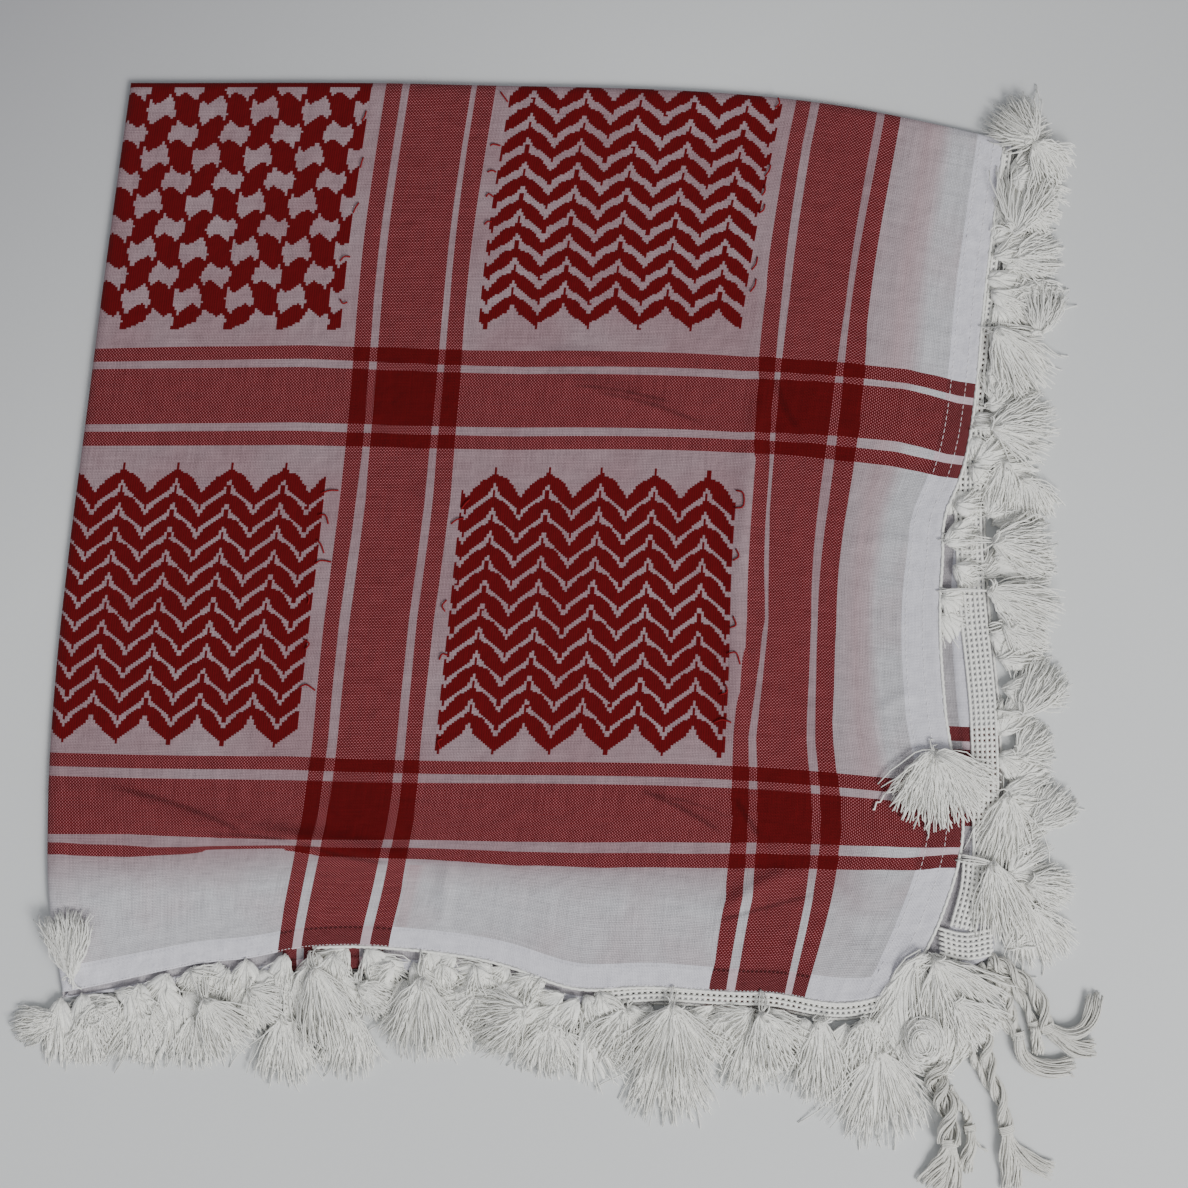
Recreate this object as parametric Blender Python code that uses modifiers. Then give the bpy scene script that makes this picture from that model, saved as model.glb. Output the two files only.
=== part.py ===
"""A keffiyeh headscarf, folded in four and lying flat: the cloth, its edge tapes and its tassels as solids.

The real thing is one square of checked cotton, folded in half twice. The middle of the square is the far
left corner of the pile (-X, +Y). The left and the far side are folds. The right and the near side are
free hems, each with a woven tape and knotted yarn tassels, and the square's four corners lie together at
the near right, where they carry braided cords.

+X runs to the right, +Y away, +Z up. The pile rests on z = 0 and the origin is under the middle of its box.
The code works in metres, and the tables give millimetres.
"""
import math

import bmesh
import bpy
import numpy as np
from mathutils import Vector

MM = 0.001

# ---------------------------------------------------------------- driving dimensions
QUARTER_ACROSS = 0.605          # one quarter of the cloth, from the left fold to the right hem
QUARTER_DOWN = 0.615            # from the far fold to the near hem
HIDDEN_ACROSS = 0.645           # the same to the hems of the layers below, which stick out further
HIDDEN_DOWN = 0.655

GAP = 0.0003                    # clearance between solids that touch on the real thing
WALL = 0.0014                   # the top cloth
HEM_WALL = 0.0026               # the top cloth where its hem is turned under
HEM_WIDTH = 0.025
HIDDEN_TOP = 0.0056             # height of the three layers under the top cloth
CLOTH_TOP = HIDDEN_TOP + GAP + WALL
FOLD_LINE = 0.0042              # height at which the upper fold ends and the lower one begins
FOLD_REACH = 0.008              # how far in from the pile's edge a fold rounds over
UNEVENNESS = 0.0002             # of the cloth's surface between its creases
HIDDEN_SIDE_STEPS = 20          # points along each side of the hidden layers
FIELD_STEPS = 25                # lines across the top cloth between its fold and its hem
FINE_POINTS = 800               # along an edge, when its nearest place to a point is looked for

BOX_MIDDLE = (2.680, -5.369)    # middle of the finished pile in the tables' own plan, mm

# Where the cloth lies. A row for each line across it: the distance down from the far fold, and then x and y
# at the left fold, in the first and the second broad stripe, at the top hem and at the hidden hems.
ACROSS_STATIONS = (0.0, 0.217, 0.497, QUARTER_ACROSS, HIDDEN_ACROSS)
LAY = (
    # down        left fold     first stripe  second stripe  top hem      hidden hem
    (0.0,         (-293, 377), (-80, 376), (202, 360), (306, 338), (312, 336)),
    (0.108,       (-308, 269), (-96, 268), (182, 257), (293, 239), (300, 238)),
    (0.2155,      (-322, 161), (-106, 160), (168, 154), (283, 139), (291, 138)),
    (0.325,       (-336, 52), (-117, 51), (157, 43), (262, 31), (293, 30)),
    (0.41,        (-345, -33), (-127, -36), (156, -43), (265, -54), (301, -55)),
    (0.4955,      (-350, -119), (-137, -123), (154, -130), (277, -139), (303, -140)),
    (0.56,        (-349, -187), (-147, -172), (145, -193), (262, -196), (302, -188)),
    (QUARTER_DOWN, (-340, -247), (-156, -215), (137, -247), (240, -242), (301, -206)),
    (HIDDEN_DOWN, (-341, -252), (-156, -232), (137, -256), (236, -254), (300, -223)),
)

# Places where a hem swings out of its line: which hem, where along it, how far out, how long the swing.
HEM_SWINGS = (
    ("near", 0.155, -0.003, 0.030),
    ("near", 0.378, -0.010, 0.035),
    ("right", 0.278, -0.005, 0.022),
)

# Soft ridges in the top cloth: both ends, how far the middle bows to the left, the width and the height.
CREASES = (
    # from x, y      to x, y       bow  wide  high
    (-12, 192,       43, 183,      4,   11,   2.0),
    (-2, 178,        91, 142,      5,   15,   2.6),
    (-312, -102,     -214, -138,   -6,  20,   3.2),
    (-214, -138,     -91, -158,    5,   18,   4.0),
    (146, 186,       125, -88,     -10, 18,   2.4),
    (57, -108,       122, -144,    3,   12,   2.0),
    (111, -192,      166, -162,    5,   17,   3.2),
    (-74, -156,      -77, -201,    0,   14,   2.0),
    (201, 63,        252, 63,      0,   11,   1.6),
    (218, -57,       246, -42,     4,   10,   1.8),
    (221, 322,       214, 206,     -3,  20,   1.4),
    (198, -208,      232, -236,    0,   14,   2.2),
    (-96, 106,       -80, 76,      2,   12,   1.4),
)

# The stack of hidden layers from the floor up: height and inset of its side under the hems, where each layer
# ends in an edge of its own, and under the folds, where the lower fold is one roll.
HIDDEN_RINGS = (
    # hem high, in   fold high, in
    (0.0, 1.4,       0.0, 2.8),
    (0.5, 0.4,       0.5, 1.2),
    (1.4, 0.3,       1.5, 0.2),
    (1.8, 1.9,       2.4, 0.3),
    (2.2, 0.9,       3.0, 0.9),
    (3.2, 0.8,       3.3, 2.3),
    (3.6, 2.4,       3.9, 2.6),
    (4.0, 0.4,       4.6, 4.4),
    (5.1, 0.3,       5.2, 7.0),
    (5.6, 1.1,       5.6, 10.0),
)

# Each level of fringe: height of the tape's underside, its thickness, and the height of its tassels' middle.
LEVELS = {
    # name      tape z  thick  tassel z
    "top":     (7.5,    1.0,   12.5),
    "second":  (5.9,    1.1,   7.7),
    "lower":   (0.8,    1.4,   2.7),
}
TAPE_WIDTH = 0.019
EDGE_TAPE_WIDTH = 0.0035        # the tapes of which only the outer edge shows
TAPE_START = 0.006              # from the fold
TAPE_END = {"top": 0.008, "second": 0.022, "lower": 0.052}     # from the corner
TAPE_ROOM = 0.8                 # most of the room between two hems that the second level's tape takes

# Tassels. A row for each: x and y of its head, x and y of the end of its skirt, the skirt's spread in
# degrees, and how many locks stand for its strands. Each hangs on the nearest place of its tape.
TASSELS = {
    ("right", "top"): (
        # head         end          spread locks
        (331, 334,     327, 368,    72,    5),
        (312, 274,     323, 317,    64,    5),
        (300, 206,     327, 166,    52,    5),
        (297, 140,     338, 141,    84,    6),
        (298, 62,      336, 61,     60,    5),
        (295, 29,      339, 10,     52,    5),
        (297, -161,    312, -208,   52,    5),
    ),
    ("right", "second"): (
        (317, 293,     339, 281,    64,    4),
        (312, 256,     342, 261,    64,    4),
        (331, 205,     334, 235,    64,    4),
        (300, 156,     304, 182,    50,    4),
        (306, 117,     300, 84,     40,    4),
        (306, 5,       332, -9,     56,    4),
        (318, -56,     338, -25,    50,    5),
        (316, -120,    314, -151,   50,    4),
        (322, -171,    350, -179,   56,    5),
    ),
    ("right", "lower"): (
        (320, 313,     341, 307,    58,    3),
        (317, 237,     339, 220,    64,    3),
        (319, 106,     328, 77,     78,    4),
        (312, 49,      338, 44,     52,    3),
        (316, -85,     334, -70,    78,    4),
        (326, -133,    350, -114,   60,    4),
        (320, -187,    338, -225,   64,    5),
    ),
    ("near", "top"): (
        (-241, -252,   -221, -285,  64,    5),
        (-166, -230,   -153, -283,  46,    5),
        (-92, -237,    -93, -288,   64,    5),
        (-22, -255,    -55, -273,   84,    6),
        (79, -255,     76, -309,    100,   7),
        (139, -261,    156, -296,   64,    5),
        (245, -259,    247, -300,   64,    5),
        (272, -252,    294, -276,   64,    4),
    ),
    ("near", "second"): (
        (-315, -255,   -315, -276,  78,    4),
        (-210, -244,   -185, -257,  64,    3),
        (-135, -242,   -116, -255,  44,    3),
        (46, -259,     33, -291,    58,    4),
        (180, -266,    182, -318,   46,    5),
        (211, -266,    208, -294,   40,    4),
    ),
    ("near", "lower"): (
        (-344, -264,   -369, -273,  50,    4),
        (-323, -266,   -324, -293,  56,    4),
        (-285, -259,   -285, -291,  64,    4),
        (-248, -261,   -245, -295,  86,    4),
        (-188, -263,   -186, -307,  64,    5),
        (-142, -261,   -144, -302,  58,    4),
        (-81, -255,    -74, -289,   52,    4),
        (-5, -268,     -5, -302,    96,    4),
        (76, -277,     77, -332,    72,    5),
        (133, -270,    133, -313,   52,    4),
        (221, -287,    224, -347,   78,    6),
    ),
}

# Tassels that lie back over the cloth, each a node of its own: head, end of the skirt, spread and locks.
TASSELS_ON_CLOTH = {
    # name                     head x, y     end x, y      spread locks
    "tassel_over_right_hem":   (266, -86,    258, -134,    116,   9),
    "tassel_over_left_corner": (-333, -235,  -335, -196,   72,    6),
}

# The corner cords, sewn to the hidden layers' near hem: width, points along each from the hem to its knot,
# and the ends of the frayed locks behind the knot.
CORNER_BRAIDS = {
    "corner_braid_1": (11, ((296, -225), (320, -240), (331, -260), (345, -269)),
                       ((354, -244), (364, -248), (372, -258), (374, -274), (370, -286))),
    "corner_braid_2": (6, ((289, -229), (308, -252), (312, -265), (316, -277)),
                       ((356, -298), (352, -303), (343, -306))),
    "corner_braid_3": (10, ((282, -232), (293, -263), (296, -298), (304, -321), (308, -342)),
                       ((341, -372), (330, -375), (317, -386), (305, -386))),
    "corner_braid_4": (14, ((264, -240), (260, -287), (260, -313), (267, -324), (269, -351)),
                       ((276, -384), (267, -387), (258, -387), (250, -380))),
    "corner_braid_5": (5, ((272, -237), (275, -294), (276, -320), (283, -329), (284, -342)),
                       ((293, -366), (286, -373))),
}
BRAID_STEPS = 10                # sections along a cord, which swell and narrow in turn
BRAID_THICK = 0.0046
BRAID_SWELL = (0.86, 0.78)      # size of the even and the odd sections, when the knot's is 1
BRAID_Z = 0.0031

# A tassel's parts: the neck from the tape, the knotted head, and the waist at which the skirt frays.
NECK_STEP = 0.0013              # width of one lock's root in the tape
SHORTEST_NECK = 0.009
NECK_WIDTH = 0.0052
NECK_THICK = 0.0016
HEAD_WIDTH = 0.0135
HEAD_THICK = 0.0042
WAIST_STEP = 0.0031             # width of one lock at the waist
WAIST_DROP = 0.007              # from the head's middle to the waist
SKIRT_THICK = 0.0036
SKIRT_DROOP = 0.0006            # how far a skirt's ends sink
LOCK_SECTIONS = (               # how far along a lock, and what it fills there of its room and thickness
    (0.55, 0.88, 0.85),
    (1.0, 0.75, 0.35),
)

COLOURS = {
    # name         red, green, blue, roughness
    "cloth":       (0.55, 0.05, 0.06, 0.90),
    "hidden":      (0.62, 0.54, 0.55, 0.92),
    "yarn":        (0.76, 0.75, 0.70, 0.95),
    "braid":       (0.66, 0.65, 0.60, 0.95),
}


# ---------------------------------------------------------------- helpers
def clear_scene():
    for item in list(bpy.data.objects):
        bpy.data.objects.remove(item, do_unlink=True)


def material(name):
    red, green, blue, roughness = COLOURS[name]
    made = bpy.data.materials.new(name)
    made.use_nodes = True
    shader = made.node_tree.nodes["Principled BSDF"]
    shader.inputs["Base Color"].default_value = (red, green, blue, 1.0)
    shader.inputs["Roughness"].default_value = roughness
    shader.inputs["Metallic"].default_value = 0.0
    return made


def add_object(name, mesh_tool, collection, finish):
    """Makes an object from a bmesh, with its faces pointing out."""
    bmesh.ops.recalc_face_normals(mesh_tool, faces=mesh_tool.faces)
    bmesh.ops.translate(mesh_tool, verts=mesh_tool.verts,
                        vec=(-BOX_MIDDLE[0] * MM, -BOX_MIDDLE[1] * MM, 0.0))
    mesh = bpy.data.meshes.new(name)
    mesh_tool.to_mesh(mesh)
    mesh_tool.free()
    mesh.materials.append(finish)
    made = bpy.data.objects.new(name, mesh)
    collection.objects.link(made)
    mesh.shade_smooth()
    mesh.set_sharp_from_angle(angle=math.radians(40))
    return made


def weights(stations, at):
    """How much each station's value counts at each place, so that a smooth curve passes through them all."""
    stations = np.asarray(stations, float)
    at = np.atleast_1d(np.asarray(at, float))
    unit = np.eye(len(stations))
    step = np.diff(stations)[:, None]
    slope = np.diff(unit, axis=0) / step
    tangent = np.empty_like(unit)
    tangent[0] = slope[0]
    tangent[-1] = slope[-1]
    tangent[1:-1] = (slope[:-1] * step[1:] + slope[1:] * step[:-1]) / (step[:-1] + step[1:])
    i = np.clip(np.searchsorted(stations, at) - 1, 0, len(stations) - 2)
    t = ((at - stations[i]) / step[i, 0])[:, None]
    return ((2 * t**3 - 3 * t**2 + 1) * unit[i] + (t**3 - 2 * t**2 + t) * step[i] * tangent[i]
            + (3 * t**2 - 2 * t**3) * unit[i + 1] + (t**3 - t**2) * step[i] * tangent[i + 1])


def plan(across, down):
    """Plan positions in metres, [down, across, xy], of the cloth at these distances from its folds."""
    places = np.array([row[1:] for row in LAY], float) * MM
    rows = weights([row[0] for row in LAY], down)
    columns = weights(ACROSS_STATIONS, across)
    where = np.einsum("ij,jkc,lk->ilc", rows, places, columns)
    for hem, along, out, length in HEM_SWINGS:
        if hem == "near":
            swing = np.exp(-((np.asarray(across) - along) / length) ** 2)[None, :]
            fade = np.exp(-((np.minimum(down, QUARTER_DOWN) - QUARTER_DOWN) / 0.05) ** 2)[:, None]
            where[..., 1] += out * swing * fade
        else:
            swing = np.exp(-((np.asarray(down) - along) / length) ** 2)[:, None]
            fade = np.exp(-((np.minimum(across, QUARTER_ACROSS) - QUARTER_ACROSS) / 0.05) ** 2)[None, :]
            fade = fade * (np.asarray(across) <= QUARTER_ACROSS)[None, :]
            where[..., 0] += out * swing * fade
    return where


def relief(where):
    """Height of the soft ridges, and of the cloth's slow unevenness, at plan positions."""
    x = where[..., 0]
    y = where[..., 1]
    total = UNEVENNESS * (2 + np.sin(31 * x + 9 * y + 1.0) + np.sin(23 * y - 12 * x))
    for x0, y0, x1, y1, bow, wide, high in CREASES:
        start = np.array((x0, y0)) * MM
        run = np.array((x1, y1)) * MM - start
        length = np.hypot(*run)
        run = run / length
        along = ((x - start[0]) * run[0] + (y - start[1]) * run[1]) / length
        t = np.clip(along, 0, 1)
        side = (x - start[0]) * -run[1] + (y - start[1]) * run[0] - 4 * bow * MM * t * (1 - t)
        over = (along - t) * length
        far = (side**2 + over**2) / (0.5 * wide * MM) ** 2
        swell = np.clip(4 * t * (1 - t) + 0.25, 0, 1)
        total = total + high * MM * swell * np.exp(-far)
    return total


def outward(points, turn):
    """Unit normals of a plan curve; turn is +1 when outside is to the left of its run."""
    run = np.gradient(points, axis=0)
    run /= np.linalg.norm(run, axis=1)[:, None]
    return turn * np.stack((-run[:, 1], run[:, 0]), axis=1)


# ---------------------------------------------------------------- the cloth
def spread_stations(whole):
    """Distances from a fold to a hem: close together round the fold and at both edges of the hem."""
    round_over = [FOLD_REACH * (1 - math.cos(math.radians(angle))) for angle in (0, 30, 60)]
    field = np.linspace(FOLD_REACH, whole - HEM_WIDTH - 0.002, FIELD_STEPS)
    return np.array([*round_over, *field, whole - HEM_WIDTH, whole - 0.5 * HEM_WIDTH, whole])


def top_edge(side):
    """The free edge of the top cloth on one side, from the fold to the corner."""
    if side == "right":
        return plan([QUARTER_ACROSS], spread_stations(QUARTER_DOWN))[:, 0]
    return plan(spread_stations(QUARTER_ACROSS), [QUARTER_DOWN])[0]


def hidden_edge(side):
    """The edge of the hidden layers on one side: right and near from the fold, far and left from the hem."""
    across = np.linspace(0, HIDDEN_ACROSS, HIDDEN_SIDE_STEPS + 1)
    down = np.linspace(0, HIDDEN_DOWN, HIDDEN_SIDE_STEPS + 1)
    if side == "right":
        return plan([HIDDEN_ACROSS], down)[:, 0]
    if side == "near":
        return plan(across, [HIDDEN_DOWN])[0]
    if side == "far":
        return plan(across[::-1], [0.0])[0]
    return plan([0.0], down)[:, 0]


def make_top_cloth(collection, finish):
    """The quarter that lies on top: a sheet over the pile, rolled down at its two folds, with two hems."""
    across = spread_stations(QUARTER_ACROSS)
    down = spread_stations(QUARTER_DOWN)
    where = plan(across, down)
    roll_across = np.sqrt(1 - np.clip(1 - across / FOLD_REACH, 0, 1) ** 2)
    roll_down = np.sqrt(1 - np.clip(1 - down / FOLD_REACH, 0, 1) ** 2)
    roll = roll_down[:, None] * roll_across[None, :]
    in_hem = np.maximum((across > QUARTER_ACROSS - HEM_WIDTH - MM)[None, :],
                        (down > QUARTER_DOWN - HEM_WIDTH - MM)[:, None])
    flat = CLOTH_TOP + relief(where) + (HEM_WALL - WALL) * in_hem
    height = FOLD_LINE + (flat - FOLD_LINE) * roll

    tool = bmesh.new()
    bmesh.ops.create_grid(tool, x_segments=len(across) - 1, y_segments=len(down) - 1, size=0.5)
    tool.verts.ensure_lookup_table()
    hem_points = []
    for i, vertex in enumerate(tool.verts):
        row, column = divmod(i, len(across))
        vertex.co = (*where[row, column], height[row, column])
        if in_hem[row, column] and roll[row, column] > 0.99:
            hem_points.append(i)
    count = len(tool.verts)
    made = add_object("cloth_top_layer", tool, collection, finish)
    if made.data.polygons[count // 2].normal.z < 0:
        made.data.flip_normals()
    group = made.vertex_groups.new(name="hem")
    group.add(hem_points, 1.0, "REPLACE")
    wall = made.modifiers.new("wall", "SOLIDIFY")
    wall.thickness = HEM_WALL
    wall.offset = -1.0
    wall.vertex_group = "hem"
    wall.thickness_vertex_group = WALL / HEM_WALL
    return made


def make_hidden_layers(collection, finish):
    """The three layers below as one rounded solid, with a step for each layer's edge under the hems."""
    sides = (("hem", hidden_edge("near")), ("hem", hidden_edge("right")[::-1]),
             ("fold", hidden_edge("far")), ("fold", hidden_edge("left")))
    tool = bmesh.new()
    rings = []
    for hem_high, hem_in, fold_high, fold_in in HIDDEN_RINGS:
        high = {"hem": hem_high * MM, "fold": fold_high * MM}
        inset = {"hem": hem_in * MM, "fold": fold_in * MM}
        ring = []
        for i, (kind, points) in enumerate(sides):
            before_kind, before = sides[i - 1]
            away = outward(points, -1)
            away_before = outward(before, -1)
            corner = points[0] - inset[kind] * away[0] - inset[before_kind] * away_before[-1]
            corner_high = min(high[kind], high[before_kind])
            ring.append(tool.verts.new((*corner, corner_high)))
            for point, out in zip(points[1:-1], away[1:-1]):
                ring.append(tool.verts.new((*(point - inset[kind] * out), high[kind])))
        rings.append(ring)
    for low, top in zip(rings, rings[1:]):
        for j in range(len(low)):
            k = (j + 1) % len(low)
            tool.faces.new((low[j], low[k], top[k], top[j]))
    tool.faces.new(rings[0][::-1])
    tool.faces.new(rings[-1])
    return add_object("cloth_hidden_layers", tool, collection, finish)


# ---------------------------------------------------------------- the fringe
class Bar:
    """A flat bundle of yarn: an upper and a lower row of points, one point more than it has locks."""

    def __init__(self, tool, upper, lower):
        self.tool = tool
        self.upper = upper
        self.lower = lower
        self.locks = len(upper) - 1
        self.middle = (upper[0].co + upper[-1].co) / 2
        self.turn = 1

    @classmethod
    def start(cls, tool, middle, across, width, thick, locks):
        """A bundle that begins with a blunt end of its own."""
        half = Vector((0, 0, 0.5 * thick))
        row = [middle + across * width * (j / locks - 0.5) for j in range(locks + 1)]
        upper = [tool.verts.new(at + half) for at in row]
        lower = [tool.verts.new(at - half) for at in row]
        for j in range(locks):
            tool.faces.new((upper[j], lower[j], lower[j + 1], upper[j + 1]))
        return cls(tool, upper, lower)

    def grow(self, middle, across, width, thick):
        """Adds a section of this width and thickness, rounded off at its two ends."""
        run = middle - self.middle
        self.middle = middle
        self.turn = 1 if across.x * run.y - across.y * run.x > 0 else -1
        upper = []
        lower = []
        for j in range(self.locks + 1):
            place = j / self.locks - 0.5
            half = 0.5 * thick * (1.0 - 1.6 * place * place)
            at = middle + across * width * place
            upper.append(self.tool.verts.new(at + Vector((0, 0, half))))
            lower.append(self.tool.verts.new(at - Vector((0, 0, half))))
        for j in range(self.locks):
            self.tool.faces.new((self.upper[j], self.upper[j + 1], upper[j + 1], upper[j]))
            self.tool.faces.new((self.lower[j + 1], self.lower[j], lower[j], lower[j + 1]))
        self.tool.faces.new((self.upper[0], upper[0], lower[0], self.lower[0]))
        self.tool.faces.new((self.upper[-1], self.lower[-1], lower[-1], upper[-1]))
        self.upper = upper
        self.lower = lower

    def fray(self, ends, thick):
        """Ends the bundle in one lock for each of these end points, four-sided and tapering."""
        root_step = (self.upper[-1].co - self.upper[0].co).length / self.locks
        gaps = []
        for a, b in zip(ends, ends[1:]):
            ahead = ((a + b) / 2 - self.middle).normalized()
            gaps.append(abs(ahead.x * (b.y - a.y) - ahead.y * (b.x - a.x)))
        rooms = [min(gaps[max(j - 1, 0)], gaps[min(j, len(gaps) - 1)]) for j in range(self.locks)]
        for j, (end, room) in enumerate(zip(ends, rooms)):
            ring = [self.upper[j], self.upper[j + 1], self.lower[j + 1], self.lower[j]]
            root = sum((corner.co for corner in ring), Vector()) / 4
            run = end - root
            side = Vector((run.y, -run.x, 0)).normalized() * self.turn
            for share, fill, deep in LOCK_SECTIONS:
                at = root + run * share
                width = fill * (root_step + (room - root_step) * share)
                new = []
                for sign, up in ((-1, 1), (1, 1), (1, -1), (-1, -1)):
                    corner = at + side * sign * 0.5 * width + Vector((0, 0, up * 0.5 * thick * deep))
                    new.append(self.tool.verts.new(corner))
                for k in range(4):
                    m = (k + 1) % 4
                    self.tool.faces.new((ring[k], ring[m], new[m], new[k]))
                ring = new
            self.tool.faces.new(ring)


def fan_ends(start, end, spread, locks, droop):
    """The end points of a skirt's locks: shorter towards the two sides, and a little lower than the head."""
    run = end - start
    ends = []
    for j in range(locks):
        place = (j + 0.5) / locks - 0.5
        angle = -math.radians(spread) * place
        reach = 1.0 - 0.5 * place * place - 0.06 * (j % 2)
        turned = Vector((run.x * math.cos(angle) - run.y * math.sin(angle),
                         run.x * math.sin(angle) + run.y * math.cos(angle), 0)) * reach
        ends.append(start + turned - Vector((0, 0, droop)))
    return ends


def grow_tassel(bar, root, head, end, spread, level_z, turn):
    """Neck, head and frayed skirt on a bar that starts at the tape. turn is the side on which rows begin."""
    neck = (head - root) * Vector((1, 1, 0))
    neck_run = neck.normalized()
    head = head + neck_run * max(SHORTEST_NECK - neck.length, 0)
    skirt_run = ((end - head) * Vector((1, 1, 0))).normalized()
    middle_run = (neck_run + skirt_run).normalized()
    locks = bar.locks

    def across(run):
        return Vector((run.y, -run.x, 0)) * turn

    lifted = Vector((head.x, head.y, level_z))
    bar.grow(root.lerp(lifted, 0.55), across(neck_run), NECK_WIDTH, NECK_THICK)
    bar.grow(lifted, across(middle_run), HEAD_WIDTH, HEAD_THICK)
    waist = lifted + skirt_run * WAIST_DROP * (1 + neck_run.angle(skirt_run) / math.pi)
    bar.grow(waist, across(skirt_run), WAIST_STEP * locks, SKIRT_THICK)
    ends = fan_ends(waist, Vector((end.x, end.y, level_z)), spread * turn, locks, SKIRT_DROOP)
    bar.fray(ends, SKIRT_THICK)


def distances(points):
    """How far along their line each of these points is."""
    return np.concatenate(([0], np.cumsum(np.linalg.norm(np.diff(points, axis=0), axis=1))))


def between(points, along, at):
    """The place on a line of points at a distance along it."""
    return np.array([np.interp(at, along, points[:, 0]), np.interp(at, along, points[:, 1])])


def spread_out(places, halves, start, end):
    """Moves places on a line apart where their half widths meet, and keeps them from start to end."""
    free = start
    for i, half in enumerate(halves):
        places[i] = max(places[i], free + half)
        free = places[i] + half
    free = end
    for i in reversed(range(len(places))):
        places[i] = min(places[i], free - halves[i])
        free = places[i] - halves[i]
    return places


def tape_lines(side, level):
    """The inner and the outer edge of a tape, with a point for each point of the cloth's edge beside it."""
    turn = 1 if side == "right" else -1
    if level == "top":
        edge = top_edge(side)
        away = outward(edge, turn)
        return edge + away * 2 * GAP, edge + away * (2 * GAP + EDGE_TAPE_WIDTH)
    edge = hidden_edge(side)
    away = outward(edge, turn)
    if level == "lower":
        return edge + away * 2 * GAP, edge + away * (2 * GAP + EDGE_TAPE_WIDTH)
    hem = top_edge(side)
    along = distances(hem)
    fine = np.array([between(hem, along, at) for at in np.linspace(0, along[-1], FINE_POINTS)])
    room = np.linalg.norm(edge[:, None] - fine[None], axis=2).min(axis=1) - 5 * GAP
    width = np.clip(TAPE_ROOM * room, 0.002, TAPE_WIDTH)
    return edge - away * width[:, None], edge + away * GAP


def make_fringe(side, level, collection, finish):
    """A tape with the tassels that hang on it, as one solid."""
    tape_z, tape_thick, tassel_z = (value * MM for value in LEVELS[level])
    inner_line, outer_line = tape_lines(side, level)
    turn = 1 if side == "right" else -1
    along = distances(outer_line)
    fine = np.linspace(0, along[-1], FINE_POINTS)
    outer_fine = np.array([between(outer_line, along, at) for at in fine])
    heads = [np.array(row[:2]) * MM for row in TASSELS[side, level]]
    nearest = [fine[int(np.argmin(np.linalg.norm(outer_fine - head, axis=1)))] for head in heads]
    rows = [row for place, row in sorted(zip(nearest, TASSELS[side, level]))]
    halves = [0.5 * row[5] * NECK_STEP + GAP for row in rows]
    places = spread_out(sorted(nearest), halves, TAPE_START, along[-1] - TAPE_END[level])
    hung = list(zip(places, rows))

    stations = {TAPE_START: None, along[-1] - TAPE_END[level]: None}
    for at in along:
        clear = all(abs(at - place) > 0.004 for place, _ in hung)
        if clear and TAPE_START < at < along[-1] - TAPE_END[level]:
            stations[at] = None
    for place, row in hung:
        locks = row[5]
        for j in range(locks + 1):
            stations[place + (j - locks / 2) * NECK_STEP] = row if j < locks else None
    order = sorted(stations)

    tool = bmesh.new()
    upper, lower, inner_upper, inner_lower = [], [], [], []
    for at in order:
        outer = between(outer_line, along, at)
        inner = between(inner_line, along, at)
        upper.append(tool.verts.new((*outer, tape_z + tape_thick)))
        lower.append(tool.verts.new((*outer, tape_z)))
        inner_upper.append(tool.verts.new((*inner, tape_z + tape_thick)))
        inner_lower.append(tool.verts.new((*inner, tape_z)))
    for i in range(len(order) - 1):
        tool.faces.new((inner_upper[i], inner_upper[i + 1], upper[i + 1], upper[i]))
        tool.faces.new((lower[i], lower[i + 1], inner_lower[i + 1], inner_lower[i]))
        tool.faces.new((inner_lower[i], inner_lower[i + 1], inner_upper[i + 1], inner_upper[i]))
        if stations[order[i]] is None:
            tool.faces.new((upper[i], upper[i + 1], lower[i + 1], lower[i]))
    for i in (0, -1):
        tool.faces.new((upper[i], lower[i], inner_lower[i], inner_upper[i]))

    for place, row in hung:
        head_x, head_y, end_x, end_y, spread, locks = row
        first = next(i for i, at in enumerate(order) if stations[at] is row)
        bar = Bar(tool, upper[first:first + locks + 1], lower[first:first + locks + 1])
        root = Vector((*between(outer_line, along, place), tape_z + 0.5 * tape_thick))
        grow_tassel(bar, root, Vector((head_x, head_y, 0)) * MM, Vector((end_x, end_y, 0)) * MM,
                    spread, tassel_z, turn)
    return add_object(f"fringe_{side}_{level}", tool, collection, finish)


def make_tassel_on_cloth(name, collection, finish):
    """A tassel that has fallen back over the cloth: its head lies on the hem and its skirt on the cloth."""
    head_x, head_y, end_x, end_y, spread, locks = TASSELS_ON_CLOTH[name]
    head = Vector((head_x, head_y, 0)) * MM
    end = Vector((end_x, end_y, 0)) * MM
    run = (end - head).normalized()
    across = Vector((run.y, -run.x, 0))

    def laid(at):
        hem_top = CLOTH_TOP + HEM_WALL - WALL + float(relief(np.array((at.x, at.y))))
        return Vector((at.x, at.y, hem_top + 2 * GAP + 0.5 * HEAD_THICK))

    tool = bmesh.new()
    bar = Bar.start(tool, laid(head - run * WAIST_DROP), across, NECK_WIDTH, NECK_THICK, locks)
    bar.grow(laid(head), across, HEAD_WIDTH, HEAD_THICK)
    waist = laid(head + run * WAIST_DROP)
    bar.grow(waist, across, WAIST_STEP * locks, SKIRT_THICK)
    bar.fray([laid(at) for at in fan_ends(waist, end, spread, locks, 0.0)], SKIRT_THICK)
    return add_object(name, tool, collection, finish)


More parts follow.
